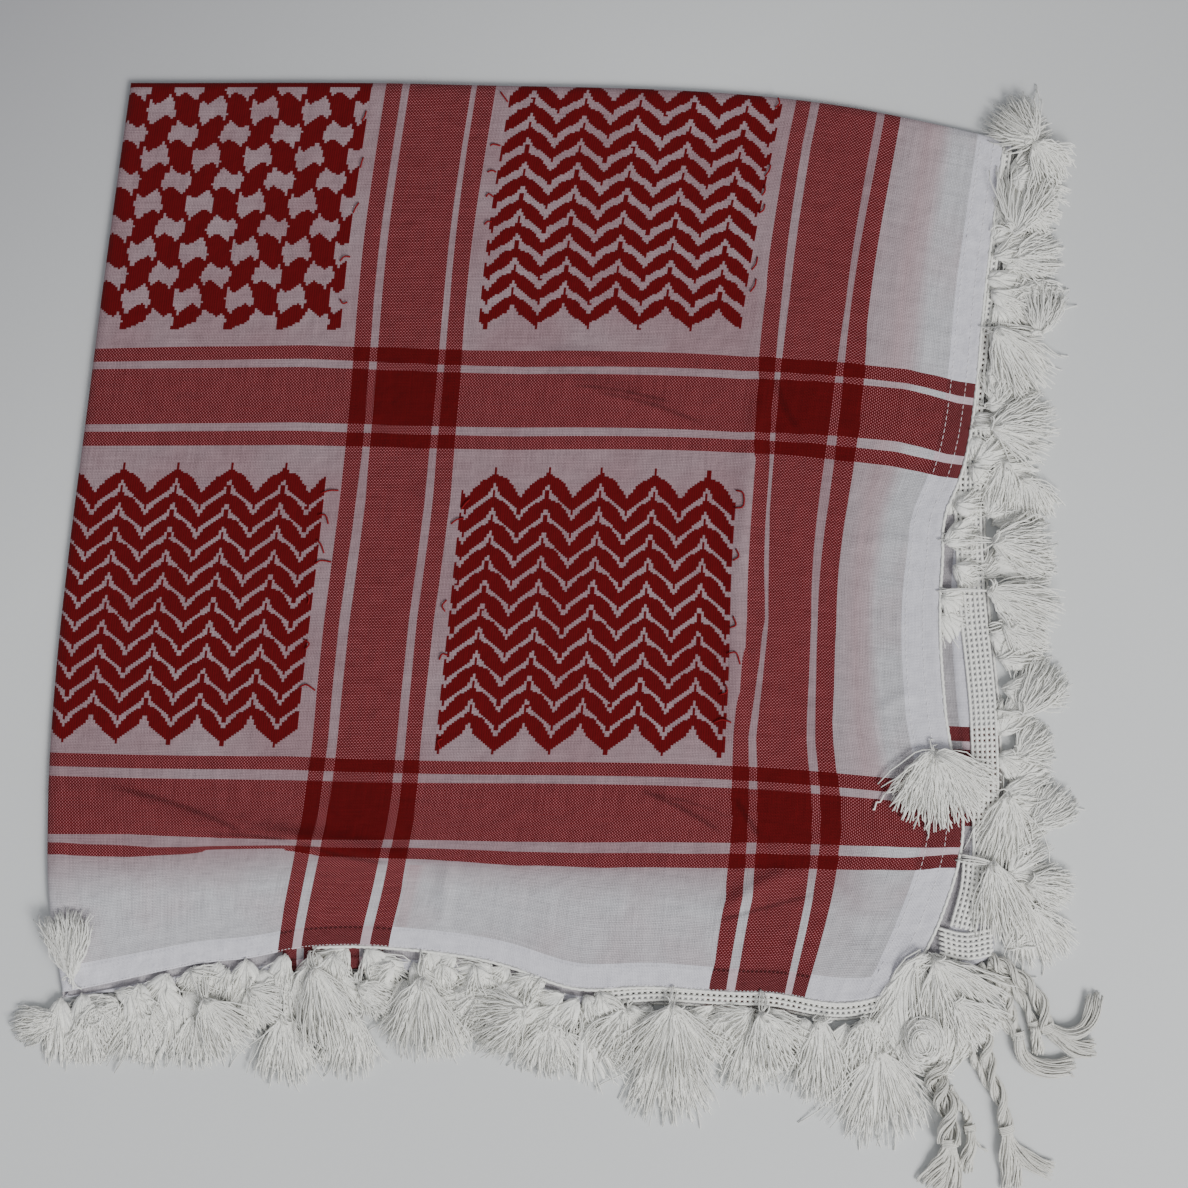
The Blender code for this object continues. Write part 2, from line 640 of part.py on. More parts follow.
# ---------------------------------------------------------------- the corner cords
def seat_on_hem(place):
    """The nearest place on the hidden layers' near hem to this one, and the hem's direction there."""
    edge = hidden_edge("near")
    along = distances(edge)
    fine = np.array([between(edge, along, at) for at in np.linspace(0, along[-1], FINE_POINTS)])
    i = int(np.argmin(np.linalg.norm(fine - place, axis=1)))
    run = fine[i] - fine[i - 1]
    return fine[i], Vector((*run, 0)).normalized()


def make_braid(name, collection, finish):
    """A twisted cord from the cloth's corner to its knot, and the frayed locks behind the knot."""
    width, path, ends = CORNER_BRAIDS[name]
    points = np.array(path, float) * MM
    seam, along_seam = seat_on_hem(points[0])
    points[0] = seam
    steps = np.linspace(0, 1, BRAID_STEPS)
    route = weights(np.linspace(0, 1, len(points)), steps) @ points
    runs = np.gradient(route, axis=0)
    knot = BRAID_STEPS - 2
    tool = bmesh.new()
    bar = None
    for i, (place, run) in enumerate(zip(route, runs)):
        middle = Vector((*place, BRAID_Z))
        across = Vector((run[1], -run[0], 0)).normalized()
        swell = 1.0 if i == knot else BRAID_SWELL[i % 2]
        if bar is None:
            facing = 1 if across.dot(along_seam) > 0 else -1
            bar = Bar.start(tool, middle, along_seam * facing, swell * width * MM, swell * BRAID_THICK,
                            len(ends))
        else:
            bar.grow(middle, across, swell * width * MM, swell * BRAID_THICK)
    bar.fray([Vector((x * MM, y * MM, BRAID_Z - SKIRT_DROOP)) for x, y in ends], SKIRT_THICK)
    return add_object(name, tool, collection, finish)


# ---------------------------------------------------------------- the whole
def main():
    clear_scene()
    collection = bpy.data.collections.new("keffiyeh_headscarf")
    bpy.context.scene.collection.children.link(collection)
    make_top_cloth(collection, material("cloth"))
    make_hidden_layers(collection, material("hidden"))
    for side, level in TASSELS:
        make_fringe(side, level, collection, material("yarn"))
    for name in TASSELS_ON_CLOTH:
        make_tassel_on_cloth(name, collection, material("yarn"))
    for name in CORNER_BRAIDS:
        make_braid(name, collection, material("braid"))


main()
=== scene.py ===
"""Looks of a keffiyeh headscarf, folded in four and lying flat on a pale floor.

Everything is in the frame's own metres: +X right, +Y away, +Z up, floor at z = 0. The plan tables are
part.py's, in millimetres. Cloth places are (across, down): distances from the left and from the far fold.
"""

import math

import bpy
import numpy as np
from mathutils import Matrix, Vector


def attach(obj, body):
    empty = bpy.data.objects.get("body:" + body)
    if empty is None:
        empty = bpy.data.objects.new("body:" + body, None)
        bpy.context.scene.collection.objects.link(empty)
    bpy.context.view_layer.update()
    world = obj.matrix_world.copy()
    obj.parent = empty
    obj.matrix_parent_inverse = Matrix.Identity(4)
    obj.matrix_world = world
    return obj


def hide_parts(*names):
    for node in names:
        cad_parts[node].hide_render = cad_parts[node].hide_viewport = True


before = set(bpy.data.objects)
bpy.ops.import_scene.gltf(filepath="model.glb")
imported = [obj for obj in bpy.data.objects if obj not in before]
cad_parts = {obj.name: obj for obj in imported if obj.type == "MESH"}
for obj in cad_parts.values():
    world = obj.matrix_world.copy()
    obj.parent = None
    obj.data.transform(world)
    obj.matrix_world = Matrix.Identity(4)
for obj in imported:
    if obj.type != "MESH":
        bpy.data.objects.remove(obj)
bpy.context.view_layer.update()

MM = 0.001

# ---------------------------------------------------------------- part.py's plan
QUARTER_ACROSS = 0.605
QUARTER_DOWN = 0.615
HIDDEN_ACROSS = 0.645
HIDDEN_DOWN = 0.655
GAP = 0.0003
CLOTH_TOP = 0.0073
HEM_RISE = 0.0003
RIGHT_HEM = 0.0275              # of cloth, which lies in soft waves across: about 20 mm as it shows
NEAR_HEM = 0.0195
HEM_STEP = 0.004                # the folded hem shows as a soft step this wide
FOLD_LINE = 0.0042
FOLD_REACH = 0.008
UNEVENNESS = 0.0002
PUCKER = 0.48 * MM              # of a hem that its stitches draw up
EDGE_ROUNDING = 0.0007
HIDDEN_SLIP = 0.040             # how far the stripes of the layers below are from the top one's
FLOOR_Z = 0.0009                # of a strand that lies on the floor
STRAND_RADII = (0.00056, 0.00078)
LOOP_RADIUS = 0.00060
STRAY_RADIUS = 0.00052
BALL_RADIUS = 0.00070
CORD_RADIUS = 0.00062
TAPE_CORD_RADIUS = 0.00050
RUNG_RADIUS = 0.00045
STITCH_RADIUS = 0.00030
LOOSE_END_RADIUS = 0.00055
TAPE_WIDTH = 0.019
EDGE_TAPE_WIDTH = 0.0035
TAPE_START = 0.006
TAPE_STARTS = {
    ("near", "second"): 0.370,      # it lies under the top hem before this
    ("near", "top"): 0.175,         # the edge is bare before this
}
TAPE_PITCH = 0.0039             # from rung to rung
SCALLOP = 0.0031
RUNG_INSETS = np.array((0.0004, 0.0064, 0.0124, 0.0186))
WIDE_TAPE = np.linspace(0.0011, TAPE_WIDTH - 0.0011, 6)
CORNER_TAPE_HEIGHT = 0.0074
CORNER_TAPES = (
    # points along the outer edge in mm, way out from it
    (((296, -160), (294, -180), (287, -206)), (0.97, -0.24)),
    (((299, -222), (280, -225), (262, -221)), (0.05, -1.0)),
)
TAPE_END = {"top": 0.008, "second": 0.022, "lower": 0.052}
TAPE_REACH = {"top": 0.0016, "second": GAP, "lower": EDGE_TAPE_WIDTH}    # past the cloth's edge
BOX_MIDDLE = np.array((2.680, -5.369)) * MM

ACROSS_STATIONS = (0.0, 0.217, 0.497, QUARTER_ACROSS, HIDDEN_ACROSS)
LAY = (
    # down        left fold     first stripe  second stripe  top hem      hidden hem
    (0.0,         (-293, 377), (-80, 376), (202, 360), (306, 338), (312, 336)),
    (0.108,       (-308, 269), (-96, 268), (182, 257), (293, 239), (300, 238)),
    (0.2155,      (-322, 161), (-106, 160), (168, 154), (283, 139), (291, 138)),
    (0.325,       (-336, 52), (-117, 51), (157, 43), (262, 31), (293, 30)),
    (0.41,        (-345, -33), (-127, -36), (156, -43), (265, -54), (301, -55)),
    (0.4955,      (-350, -119), (-137, -123), (154, -130), (277, -139), (303, -140)),
    (0.56,        (-349, -187), (-147, -172), (145, -193), (262, -196), (302, -188)),
    (QUARTER_DOWN, (-340, -247), (-156, -215), (137, -247), (240, -242), (301, -206)),
    (HIDDEN_DOWN, (-341, -252), (-156, -232), (137, -256), (236, -254), (300, -223)),
)
HEM_SWINGS = (
    ("near", 0.155, -0.003, 0.030),
    ("near", 0.378, -0.010, 0.035),
    ("right", 0.278, -0.005, 0.022),
)
CREASES = (
    # from x, y      to x, y       bow  wide  high
    (-12, 192,       43, 183,      4,   11,   2.0),
    (-2, 178,        91, 142,      5,   15,   2.6),
    (-312, -102,     -214, -138,   -6,  20,   3.2),
    (-214, -138,     -91, -158,    5,   18,   4.0),
    (146, 186,       125, -88,     -10, 18,   2.4),
    (57, -108,       122, -144,    3,   12,   2.0),
    (111, -192,      166, -162,    5,   17,   3.2),
    (-74, -156,      -77, -201,    0,   14,   2.0),
    (201, 63,        252, 63,      0,   11,   1.6),
    (218, -57,       246, -42,     4,   10,   1.8),
    (221, 322,       214, 206,     -3,  20,   1.4),
    (198, -208,      232, -236,    0,   14,   2.2),
    (-96, 106,       -80, 76,      2,   12,   1.4),
)

# Sharper ridges on and beside those creases, finer than part.py's.
FINE_CREASES = (
    (-307, -105,     -245, -125,   0,   7,   1.3),
    (-245, -125,     -156, -146,   3,   6,   1.5),
    (-156, -146,     -94, -158,    0,   8,   1.0),
    (142, 173,       125, -88,     -8,  6,   1.0),
    (-12, 193,       43, 183,      0,   5,   0.9),
    (2, 173,         84, 145,      3,   6,   1.2),
    (57, -108,       118, -143,    2,   6,   1.1),
    (111, -191,      166, -163,    3,   7,   1.4),
    (-74, -156,      -76, -198,    0,   8,   0.9),
    (201, 63,        238, 62,      0,   5,   0.8),
    (221, -43,       242, -54,     0,   5,   0.9),
    (266, 272,       292, 270,     0,   5,   0.9),
    (256, 207,       281, 206,     0,   5,   0.9),
    (246, 150,       268, 152,     0,   4,   0.7),
    (200, -211,      235, -245,    0,   7,   1.3),
    (180, -225,      228, -240,    3,   6,   0.8),
    (-96, 95,        -80, 88,      0,   6,   0.9),
    (-330, -232,     -312, -200,   2,   9,   0.9),
    (-190, -188,     -150, -215,   3,   8,   0.8),
    (20, -205,       60, -236,     -3,  9,   0.8),
)

# ---------------------------------------------------------------- the fringe, as part.py places it
TASSELS = {
    # head x, y, end of the skirt x, y, spread in degrees
    ("right", "top"): (
        (326, 336, 304, 358, 84), (326, 334, 344, 312, 70), (312, 274, 323, 317, 64),
        (300, 206, 327, 166, 52), (297, 140, 338, 141, 84), (298, 62, 336, 61, 60), (295, 29, 339, 10, 52),
        (297, -158, 311, -208, 48)),
    ("right", "second"): (
        (317, 293, 339, 281, 64), (312, 256, 342, 261, 64), (331, 205, 334, 235, 64),
        (300, 156, 304, 182, 50), (306, 117, 300, 84, 40), (306, 5, 332, -9, 56), (318, -56, 338, -25, 50),
        (309, -112, 305, -166, 50), (322, -171, 350, -179, 56)),
    ("right", "lower"): (
        (320, 313, 341, 307, 58), (317, 237, 339, 220, 64), (319, 106, 328, 77, 78), (312, 49, 338, 44, 52),
        (316, -85, 334, -70, 78), (326, -133, 350, -114, 60), (320, -187, 338, -225, 64)),
    ("near", "top"): (
        (-241, -252, -221, -285, 64), (-166, -230, -153, -283, 46), (-92, -237, -93, -288, 64),
        (-22, -257, -55, -272, 84), (79, -255, 76, -309, 100), (139, -261, 156, -296, 64),
        (245, -259, 247, -300, 64), (272, -252, 294, -276, 64)),
    ("near", "second"): (
        (-315, -255, -315, -276, 78), (-210, -244, -185, -257, 64), (-135, -242, -116, -255, 44),
        (46, -259, 33, -291, 58), (180, -266, 182, -318, 46), (211, -266, 208, -294, 40)),
    ("near", "lower"): (
        (-344, -264, -369, -273, 50), (-323, -266, -324, -293, 56), (-285, -259, -285, -291, 64),
        (-248, -261, -245, -295, 86), (-188, -263, -186, -307, 64), (-142, -261, -144, -302, 58),
        (-81, -255, -74, -289, 52), (-5, -268, -5, -302, 96), (76, -277, 77, -332, 72),
        (133, -270, 133, -313, 52), (221, -287, 224, -347, 78)),
}
LEVEL_HEIGHT = {"top": 0.0125, "second": 0.0080, "lower": 0.0042}    # of a tassel's head
TAPE_HEIGHT = {"top": 0.0080, "second": 0.0061, "lower": 0.0014}     # of a tape's middle
LOWEST_HEAD = 0.0014
CORNER_HEAD = (245, -259)       # the tassels that have a wound ball
BALL_HEAD = (-285, -259)
CORE_SWELL = np.array((0.0012, 0.0024, 0.0028, 0.0028, 0.0024, 0.0010))
TASSELS_ON_CLOTH = {
    "tassel_over_right_hem": (258, -84, 268, -128, 118),
    "tassel_over_left_corner": (-332, -235, -337, -196, 44),
}
MOP_STRAND = ((255, -98), (238, -103), (226, -110), (219, -117), (216, -122))    # lies away from the rest

# Where small pleats and pulls shift the woven stripes: (down, shifts in mm at the stripe's six edges).
STRIPE_EDGES_ACROSS = (-37, -26, -20.5, 20.5, 26, 37)
STRIPE_EDGES_DOWN = (-34.5, -24.5, -19, 19, 24.5, 34.5)
SHIFTS_ACROSS = (
    (0.217, ((0.045, (0.9, 0.1, 0.7, -1.1, 1.0, -1.1)), (0.148, (0.3, 0.1, 0.1, -2.2, -0.6, -1.1)),
             (0.254, (-0.8, -1.5, -0.8, -1.4, -0.8, -3.0)), (0.286, (-0.5, -0.5, -1.9, -1.7, -1.8, -3.3)),
             (0.367, (1.1, 1.5, -0.1, 0.6, 0.6, 0.0)), (0.446, (-0.6, 0.1, -1.0, -0.2, -0.8, 0.0)),
             (0.573, (2.8, 2.6, 0.8, -0.9, -2.3, -4.5)))),
    (0.497, ((0.031, (2.2, 2.5, 1.9, 3.9, 4.7, 6.6)), (0.138, (-3.1, -2.8, -2.6, 2.6, 5.3, 6.5)),
             (0.215, (-7.0, -6.0, -3.5, 3.5, 4.0, 4.0)), (0.277, (-11.0, -9.5, -5.5, 3.0, 2.1, 1.5)),
             (0.359, (-11.7, -11.9, -8.5, 2.6, 4.0, 2.0)), (0.440, (-3.1, -2.0, -1.7, 6.8, 6.6, 7.0)),
             (0.550, (-9.3, -7.2, -8.6, -0.4, 0.9, 0.7)), (0.610, (-5.0, -4.5, -5.0, 0.0, 0.0, 0.0)))),
)
SHIFTS_DOWN = (
    (0.2155, ((0.008, (-1.4, -0.3, 0.2, 0.2, 0.7, 1.0)), (0.146, (1.6, 2.1, 1.9, 2.0, 1.7, 2.1)),
              (0.300, (-2.4, -3.2, -2.3, -1.0, -1.8, -0.8)), (0.455, (-3.7, -2.8, -3.0, -1.6, -1.1, 0.2)),
              (0.5525, (1.9, 1.2, 3.0, 3.9, 1.8, 2.4)), (0.586, (-2.1, -2.2, -1.9, -0.3, -1.1, -0.5)))),
    (0.4955, ((0.010, (1.9, 2.4, 0.9, 0.2, 0.0, 2.4)), (0.060, (2.0, 2.4, 0.9, 0.0, -3.5, -1.0)),
              (0.100, (2.5, 3.0, 1.5, -2.0, -6.0, 0.0)), (0.125, (3.0, 3.5, 2.0, -3.5, -6.0, 4.0)),
              (0.165, (3.5, 4.4, 2.6, -5.0, -5.0, 4.0)), (0.200, (3.2, 4.0, 2.6, -5.0, -6.5, -6.0)),
              (0.328, (2.0, 2.7, 2.6, -3.4, -6.4, -8.0)), (0.566, (1.5, 1.5, 1.2, 7.4, 4.8, 6.2)),
              (0.598, (0.0, 0.0, 0.0, 9.7, 9.8, 10.0)))),
)

# Loose ends of the red pattern yarn beside the embroidered blocks: points of each.
LOOSE_ENDS = (
    ((-39, 333), (-44, 334), (-46, 333)), ((-42, 315), (-45, 316), (-48, 315)),
    ((-44, 298), (-47, 300), (-49, 298)), ((-45, 281), (-48, 281), (-50, 279)),
    ((-34, 363), (-37, 367), (-39, 370)), ((149, 359), (152, 362), (151, 366)),
    ((142, 312), (145, 316), (146, 320)), ((140, 299), (142, 302), (142, 306)),
    ((138, 287), (141, 289), (142, 293)), ((133, 248), (136, 252), (137, 257)),
    ((132, 233), (135, 237), (136, 242)), ((-162, 95), (-156, 97), (-150, 97)),
    ((-164, 80), (-159, 80), (-157, 74)), ((-165, 63), (-162, 60), (-160, 54)),
    ((-166, 47), (-162, 49), (-155, 48)), ((-172, 27), (-170, 23), (-171, 19)),
    ((-177, -38), (-172, -36), (-166, -40)), ((-174, -5), (-170, -8), (-173, -12)),
    ((121, 85), (127, 86), (127, 95), (122, 97)), ((116, -15), (122, -14), (125, -22)),
    ((118, 3), (122, 5), (120, 11)), ((107, -62), (113, -60), (119, -62)),
    ((120, 49), (124, 52), (122, 57)), ((111, -43), (116, -41), (115, -36)),
    ((-64, 78), (-69, 77), (-73, 74)), ((-60, 91), (-63, 88), (-66, 84)),
    ((-76, 22), (-79, 18), (-77, 14)), ((-75, -16), (-79, -15), (-81, -19)),
    ((-79, -73), (-82, -75), (-80, -80)), ((-134, 350), (-132, 353), (-131, 357)),
    ((-135, 318), (-134, 322), (-133, 325)), ((-140, 287), (-138, 291), (-136, 294)),
    ((-149, 254), (-146, 257), (-142, 257)), ((-149, 228), (-147, 225), (-144, 226)),
)


# ---------------------------------------------------------------- plan and relief
def weights(stations, at):
    """Each station's share in a smooth curve through values at the stations, at each of some places."""
    stations = np.asarray(stations, float)
    at = np.atleast_1d(np.asarray(at, float))
    unit = np.eye(len(stations))
    step = np.diff(stations)[:, None]
    slope = np.diff(unit, axis=0) / step
    tangent = np.empty_like(unit)
    tangent[0] = slope[0]
    tangent[-1] = slope[-1]
    tangent[1:-1] = (slope[:-1] * step[1:] + slope[1:] * step[:-1]) / (step[:-1] + step[1:])
    i = np.clip(np.searchsorted(stations, at) - 1, 0, len(stations) - 2)
    t = ((at - stations[i]) / step[i, 0])[:, None]
    return ((2 * t**3 - 3 * t**2 + 1) * unit[i] + (t**3 - 2 * t**2 + t) * step[i] * tangent[i]
            + (3 * t**2 - 2 * t**3) * unit[i + 1] + (t**3 - t**2) * step[i] * tangent[i + 1])


def plan(across, down):
    """Plan positions in the tables' metres, [down, across, xy]."""
    places = np.array([row[1:] for row in LAY], float) * MM
    rows = weights([row[0] for row in LAY], down)
    columns = weights(ACROSS_STATIONS, across)
    where = np.einsum("ij,jkc,lk->ilc", rows, places, columns)
    for hem, along, out, length in HEM_SWINGS:
        if hem == "near":
            swing = np.exp(-((np.asarray(across) - along) / length) ** 2)[None, :]
            fade = np.exp(-((np.minimum(down, QUARTER_DOWN) - QUARTER_DOWN) / 0.05) ** 2)[:, None]
            where[..., 1] += out * swing * fade
        else:
            swing = np.exp(-((np.asarray(down) - along) / length) ** 2)[:, None]
            fade = np.exp(-((np.minimum(across, QUARTER_ACROSS) - QUARTER_ACROSS) / 0.05) ** 2)[None, :]
            fade = fade * (np.asarray(across) <= QUARTER_ACROSS)[None, :]
            where[..., 0] += out * swing * fade
    return where


STEEP_SIDE = 0.5                # a ridge's half width to its left, as a share of what the table says
GENTLE_SIDE = 1.1


def ridges(where, table):
    """Heights of a table's creases: each a soft ridge along a bowed line, steeper on its left."""
    x = where[..., 0]
    y = where[..., 1]
    total = 0 * x
    for x0, y0, x1, y1, bow, wide, tall in table:
        start = np.array((x0, y0)) * MM
        run = np.array((x1, y1)) * MM - start
        length = np.hypot(*run)
        run = run / length
        along = ((x - start[0]) * run[0] + (y - start[1]) * run[1]) / length
        t = np.clip(along, 0, 1)
        side = (x - start[0]) * -run[1] + (y - start[1]) * run[0] - 4 * bow * MM * t * (1 - t)
        beyond = (along - t) * length
        steep = np.where(side > 0, STEEP_SIDE, GENTLE_SIDE)
        far = ((side / steep)**2 + beyond**2) / (0.5 * wide * MM) ** 2
        swell = np.clip(4 * t * (1 - t) + 0.25, 0, 1)
        total = total + tall * MM * swell * np.exp(-far)
    return total


def relief(where):
    """part.py's unevenness and creases."""
    x = where[..., 0]
    y = where[..., 1]
    swells = 2 + np.sin(31 * x + 9 * y + 1.0) + np.sin(23 * y - 12 * x)
    return UNEVENNESS * swells + ridges(where, CREASES)


FADE_BEFORE = 1.8 * MM          # a pull dies out this far before its band, and this far past it
FADE_AFTER = 6.0 * MM


def shifted(across, down, tables, edges):
    """How far the pattern is shifted, [down, across], by tables that run across (or, turned, down)."""
    total = np.zeros((len(down), len(across)))
    for middle, rows in tables:
        places_down = [row[0] for row in rows]
        pulls = np.array([row[1] for row in rows])
        at_row = np.stack([np.interp(down, places_down, column) for column in pulls.T], axis=1)
        for i, pull in enumerate(at_row):
            places = middle + (np.array(edges) - pull) * MM
            start = min(places[0], middle + edges[0] * MM) - FADE_BEFORE
            end = max(places[-1], middle + edges[-1] * MM) + FADE_AFTER
            shifts = np.interp(across, (start, *places, end), (0.0, *pull, 0.0), left=0.0, right=0.0)
            total[i] += shifts * MM
    return total


def pattern_place(across, down):
    """Cloth coordinates of the woven pattern, [down, across], with its small pulls."""
    u = across[None, :] + shifted(across, down, SHIFTS_ACROSS, STRIPE_EDGES_ACROSS)
    v = down[:, None] + shifted(down, across, SHIFTS_DOWN, STRIPE_EDGES_DOWN).T
    return u, v


def outward(points, turn):
    """The way out from a line at each of its points: to its left where turn is 1, right where -1."""
    run = np.gradient(points, axis=0)
    run /= np.linalg.norm(run, axis=1)[:, None]
    return turn * np.stack((-run[:, 1], run[:, 0]), axis=1)


def spline(points, steps):
    """A smooth line through points that are given in mm."""
    line = np.array(points, float) * MM
    return weights(np.linspace(0, 1, len(line)), np.linspace(0, 1, steps)) @ line


def distances(points):
    """How far along a line each of its points is."""
    return np.concatenate(([0], np.cumsum(np.linalg.norm(np.diff(points, axis=0), axis=1))))


def between(points, along, at):
    """Points at some distances along a line."""
    at = np.asarray(at, float)
    return np.stack([np.interp(at, along, points[:, k]) for k in range(points.shape[1])], axis=-1)


# ---------------------------------------------------------------- meshes
def make_object(name, points, faces, finish):
    """A mesh object from points in the tables' metres; it rides on the one body."""
    points = np.asarray(points, float).reshape(-1, 3).copy()
    points[:, :2] -= BOX_MIDDLE
    mesh = bpy.data.meshes.new(name)
    mesh.from_pydata(points.tolist(), [], [list(map(int, f)) for f in faces])
    mesh.materials.append(finish)
    mesh.shade_smooth()
    made = bpy.data.objects.new(name, mesh)
    bpy.context.scene.collection.objects.link(made)
    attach(made, "root")
    return made


def add_values(made, name, values, kind="FLOAT"):
    attribute = made.data.attributes.new(name, kind, "POINT")
    field = "value" if kind == "FLOAT" else "vector"
    attribute.data.foreach_set(field, np.asarray(values, np.float32).ravel())


def grid_faces(rows, columns, start=0, flip=False):
    index = start + np.arange(rows * columns).reshape(rows, columns)
    quads = np.stack((index[:-1, :-1], index[:-1, 1:], index[1:, 1:], index[1:, :-1]), axis=-1).reshape(-1, 4)
    return quads[:, ::-1] if flip else quads


def closed_sheet(top, thick):
    """A closed thin sheet from a grid of points of its upper side and how thick it is at each."""
    rows, columns = top.shape[:2]
    lower = top.copy()
    lower[..., 2] -= thick
    count = rows * columns
    index = np.arange(count).reshape(rows, columns)
    rim = np.concatenate((index[0, :-1], index[:-1, -1], index[-1, :0:-1], index[:0:-1, 0]))
    after = np.roll(rim, -1)
    wall = np.stack((rim, after, after + count, rim + count), axis=-1)
    faces = (grid_faces(rows, columns, flip=True), grid_faces(rows, columns, count), wall)
    return np.concatenate((top.reshape(-1, 3), lower.reshape(-1, 3))), np.concatenate(faces)


def tubes(paths, radii, sides=3, flat=1.0):
    """Tubes round many paths, [path, step, xyz], with a radius for each path and step; flat widens them."""
    count, steps = paths.shape[:2]
    run = np.gradient(paths, axis=1)
    run /= np.maximum(np.linalg.norm(run, axis=2, keepdims=True), 1e-9)
    up = np.zeros_like(run)
    up[..., 2] = 1.0
    up[np.abs(run[..., 2]) > 0.9] = (1.0, 0.0, 0.0)
    side = np.cross(run, up)
    side /= np.maximum(np.linalg.norm(side, axis=2, keepdims=True), 1e-9)
    other = np.cross(side, run)
    turn = (np.arange(sides) * 2 * math.pi / sides)[None, None, :, None]
    radii = np.broadcast_to(np.asarray(radii, float), (count, steps))[:, :, None, None]
    ring = (side[:, :, None] * flat * np.cos(turn) + other[:, :, None] * np.sin(turn)) * radii
    points = (paths[:, :, None] + ring).reshape(-1, 3)

    index = np.arange(count * steps * sides).reshape(count, steps, sides)
    after = np.roll(index, -1, axis=2)
    quads = np.stack((index[:, :-1], after[:, :-1], after[:, 1:], index[:, 1:]), axis=-1).reshape(-1, 4)
    return points, quads, (index[:, 0, ::-1], index[:, -1])


class Yarns:
    """Collects tubes of yarn, then makes one object of them with a tone for each and its run along it."""

    def __init__(self):
        self.points = []
        self.faces = []
        self.tones = []
        self.runs = []
        self.total = 0

    def add(self, paths, radii, tones, sides=3, flat=1.0):
        """Tubes along one path, [step, xyz], or many, [path, step, xyz]."""
        paths = np.asarray(paths, float)
        if paths.ndim == 2:
            paths = paths[None]
        points, quads, ends = tubes(paths, radii, sides, flat)
        count, steps = paths.shape[:2]
        self.points.append(points)
        for faces in (quads, *ends):
            self.faces.extend((faces + self.total).tolist())
        tones = np.broadcast_to(np.asarray(tones, float), (count,))
        self.tones.append(np.repeat(tones, steps * sides))
        length = np.linalg.norm(np.diff(paths, axis=1), axis=2)
        along = np.concatenate((np.zeros((count, 1)), np.cumsum(length, axis=1)), axis=1)
        along, round_it = np.broadcast_arrays(along[:, :, None], np.arange(sides) / sides)
        self.runs.append(np.stack((along, round_it, 0 * along), axis=-1).reshape(-1, 3))
        self.total += len(points)

    def finish(self, name, material, slot, *nodes_replaced):
        made = make_object(name, np.concatenate(self.points), self.faces, material)
        add_values(made, "tone", np.concatenate(self.tones))
        add_values(made, "run", np.concatenate(self.runs), "FLOAT_VECTOR")
        if nodes_replaced:
            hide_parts(*nodes_replaced)
        return made


# ---------------------------------------------------------------- arithmetic inside materials
class Value:
    """A number inside a material's node tree, so that a pattern is written as plain arithmetic."""

    def __init__(self, nodes, socket):
        self.nodes = nodes
        self.socket = socket

    def calculate(self, operation, *others, clamp=False):
        return self.nodes.math(operation, self, *others, clamp=clamp)

    def __add__(self, other):
        return self.calculate("ADD", other)

    __radd__ = __add__

    def __sub__(self, other):
        return self.calculate("SUBTRACT", other)

    def __rsub__(self, other):
        return self.nodes.math("SUBTRACT", other, self)

    def __mul__(self, other):
        return self.calculate("MULTIPLY", other)

    __rmul__ = __mul__

    def __truediv__(self, other):
        return self.calculate("DIVIDE", other)

    def __neg__(self):
        return self * -1.0


def floor(a):
    return a.calculate("FLOOR")


def fract(a):
    return a.calculate("FRACT")


def absolute(a):
    return a.calculate("ABSOLUTE")


def sine(a):
    return a.calculate("SINE")


def low(a, b):
    return a.calculate("MINIMUM", b)


def high(a, b):
    return a.calculate("MAXIMUM", b)


def over(a, b):
    """1 where a is more than b."""
    return a.calculate("GREATER_THAN", b)


def under(a, b):
    """1 where a is less than b."""
    return a.calculate("LESS_THAN", b)


def inside(x, start, end):
    """1 between start and end."""
    if isinstance(end, Value):
        return over(x, start) * under(x, end)
    return x.calculate("COMPARE", (start + end) / 2, (end - start) / 2)


def ramp(x, start, end):
    """0 at start, 1 at end, even between them."""
    return x.calculate("MULTIPLY_ADD", 1 / (end - start), -start / (end - start), clamp=True)


def mix(a, b, share):
    """a where share is 0 and b where it is 1."""
    return share.calculate("MULTIPLY_ADD", b - a, a)


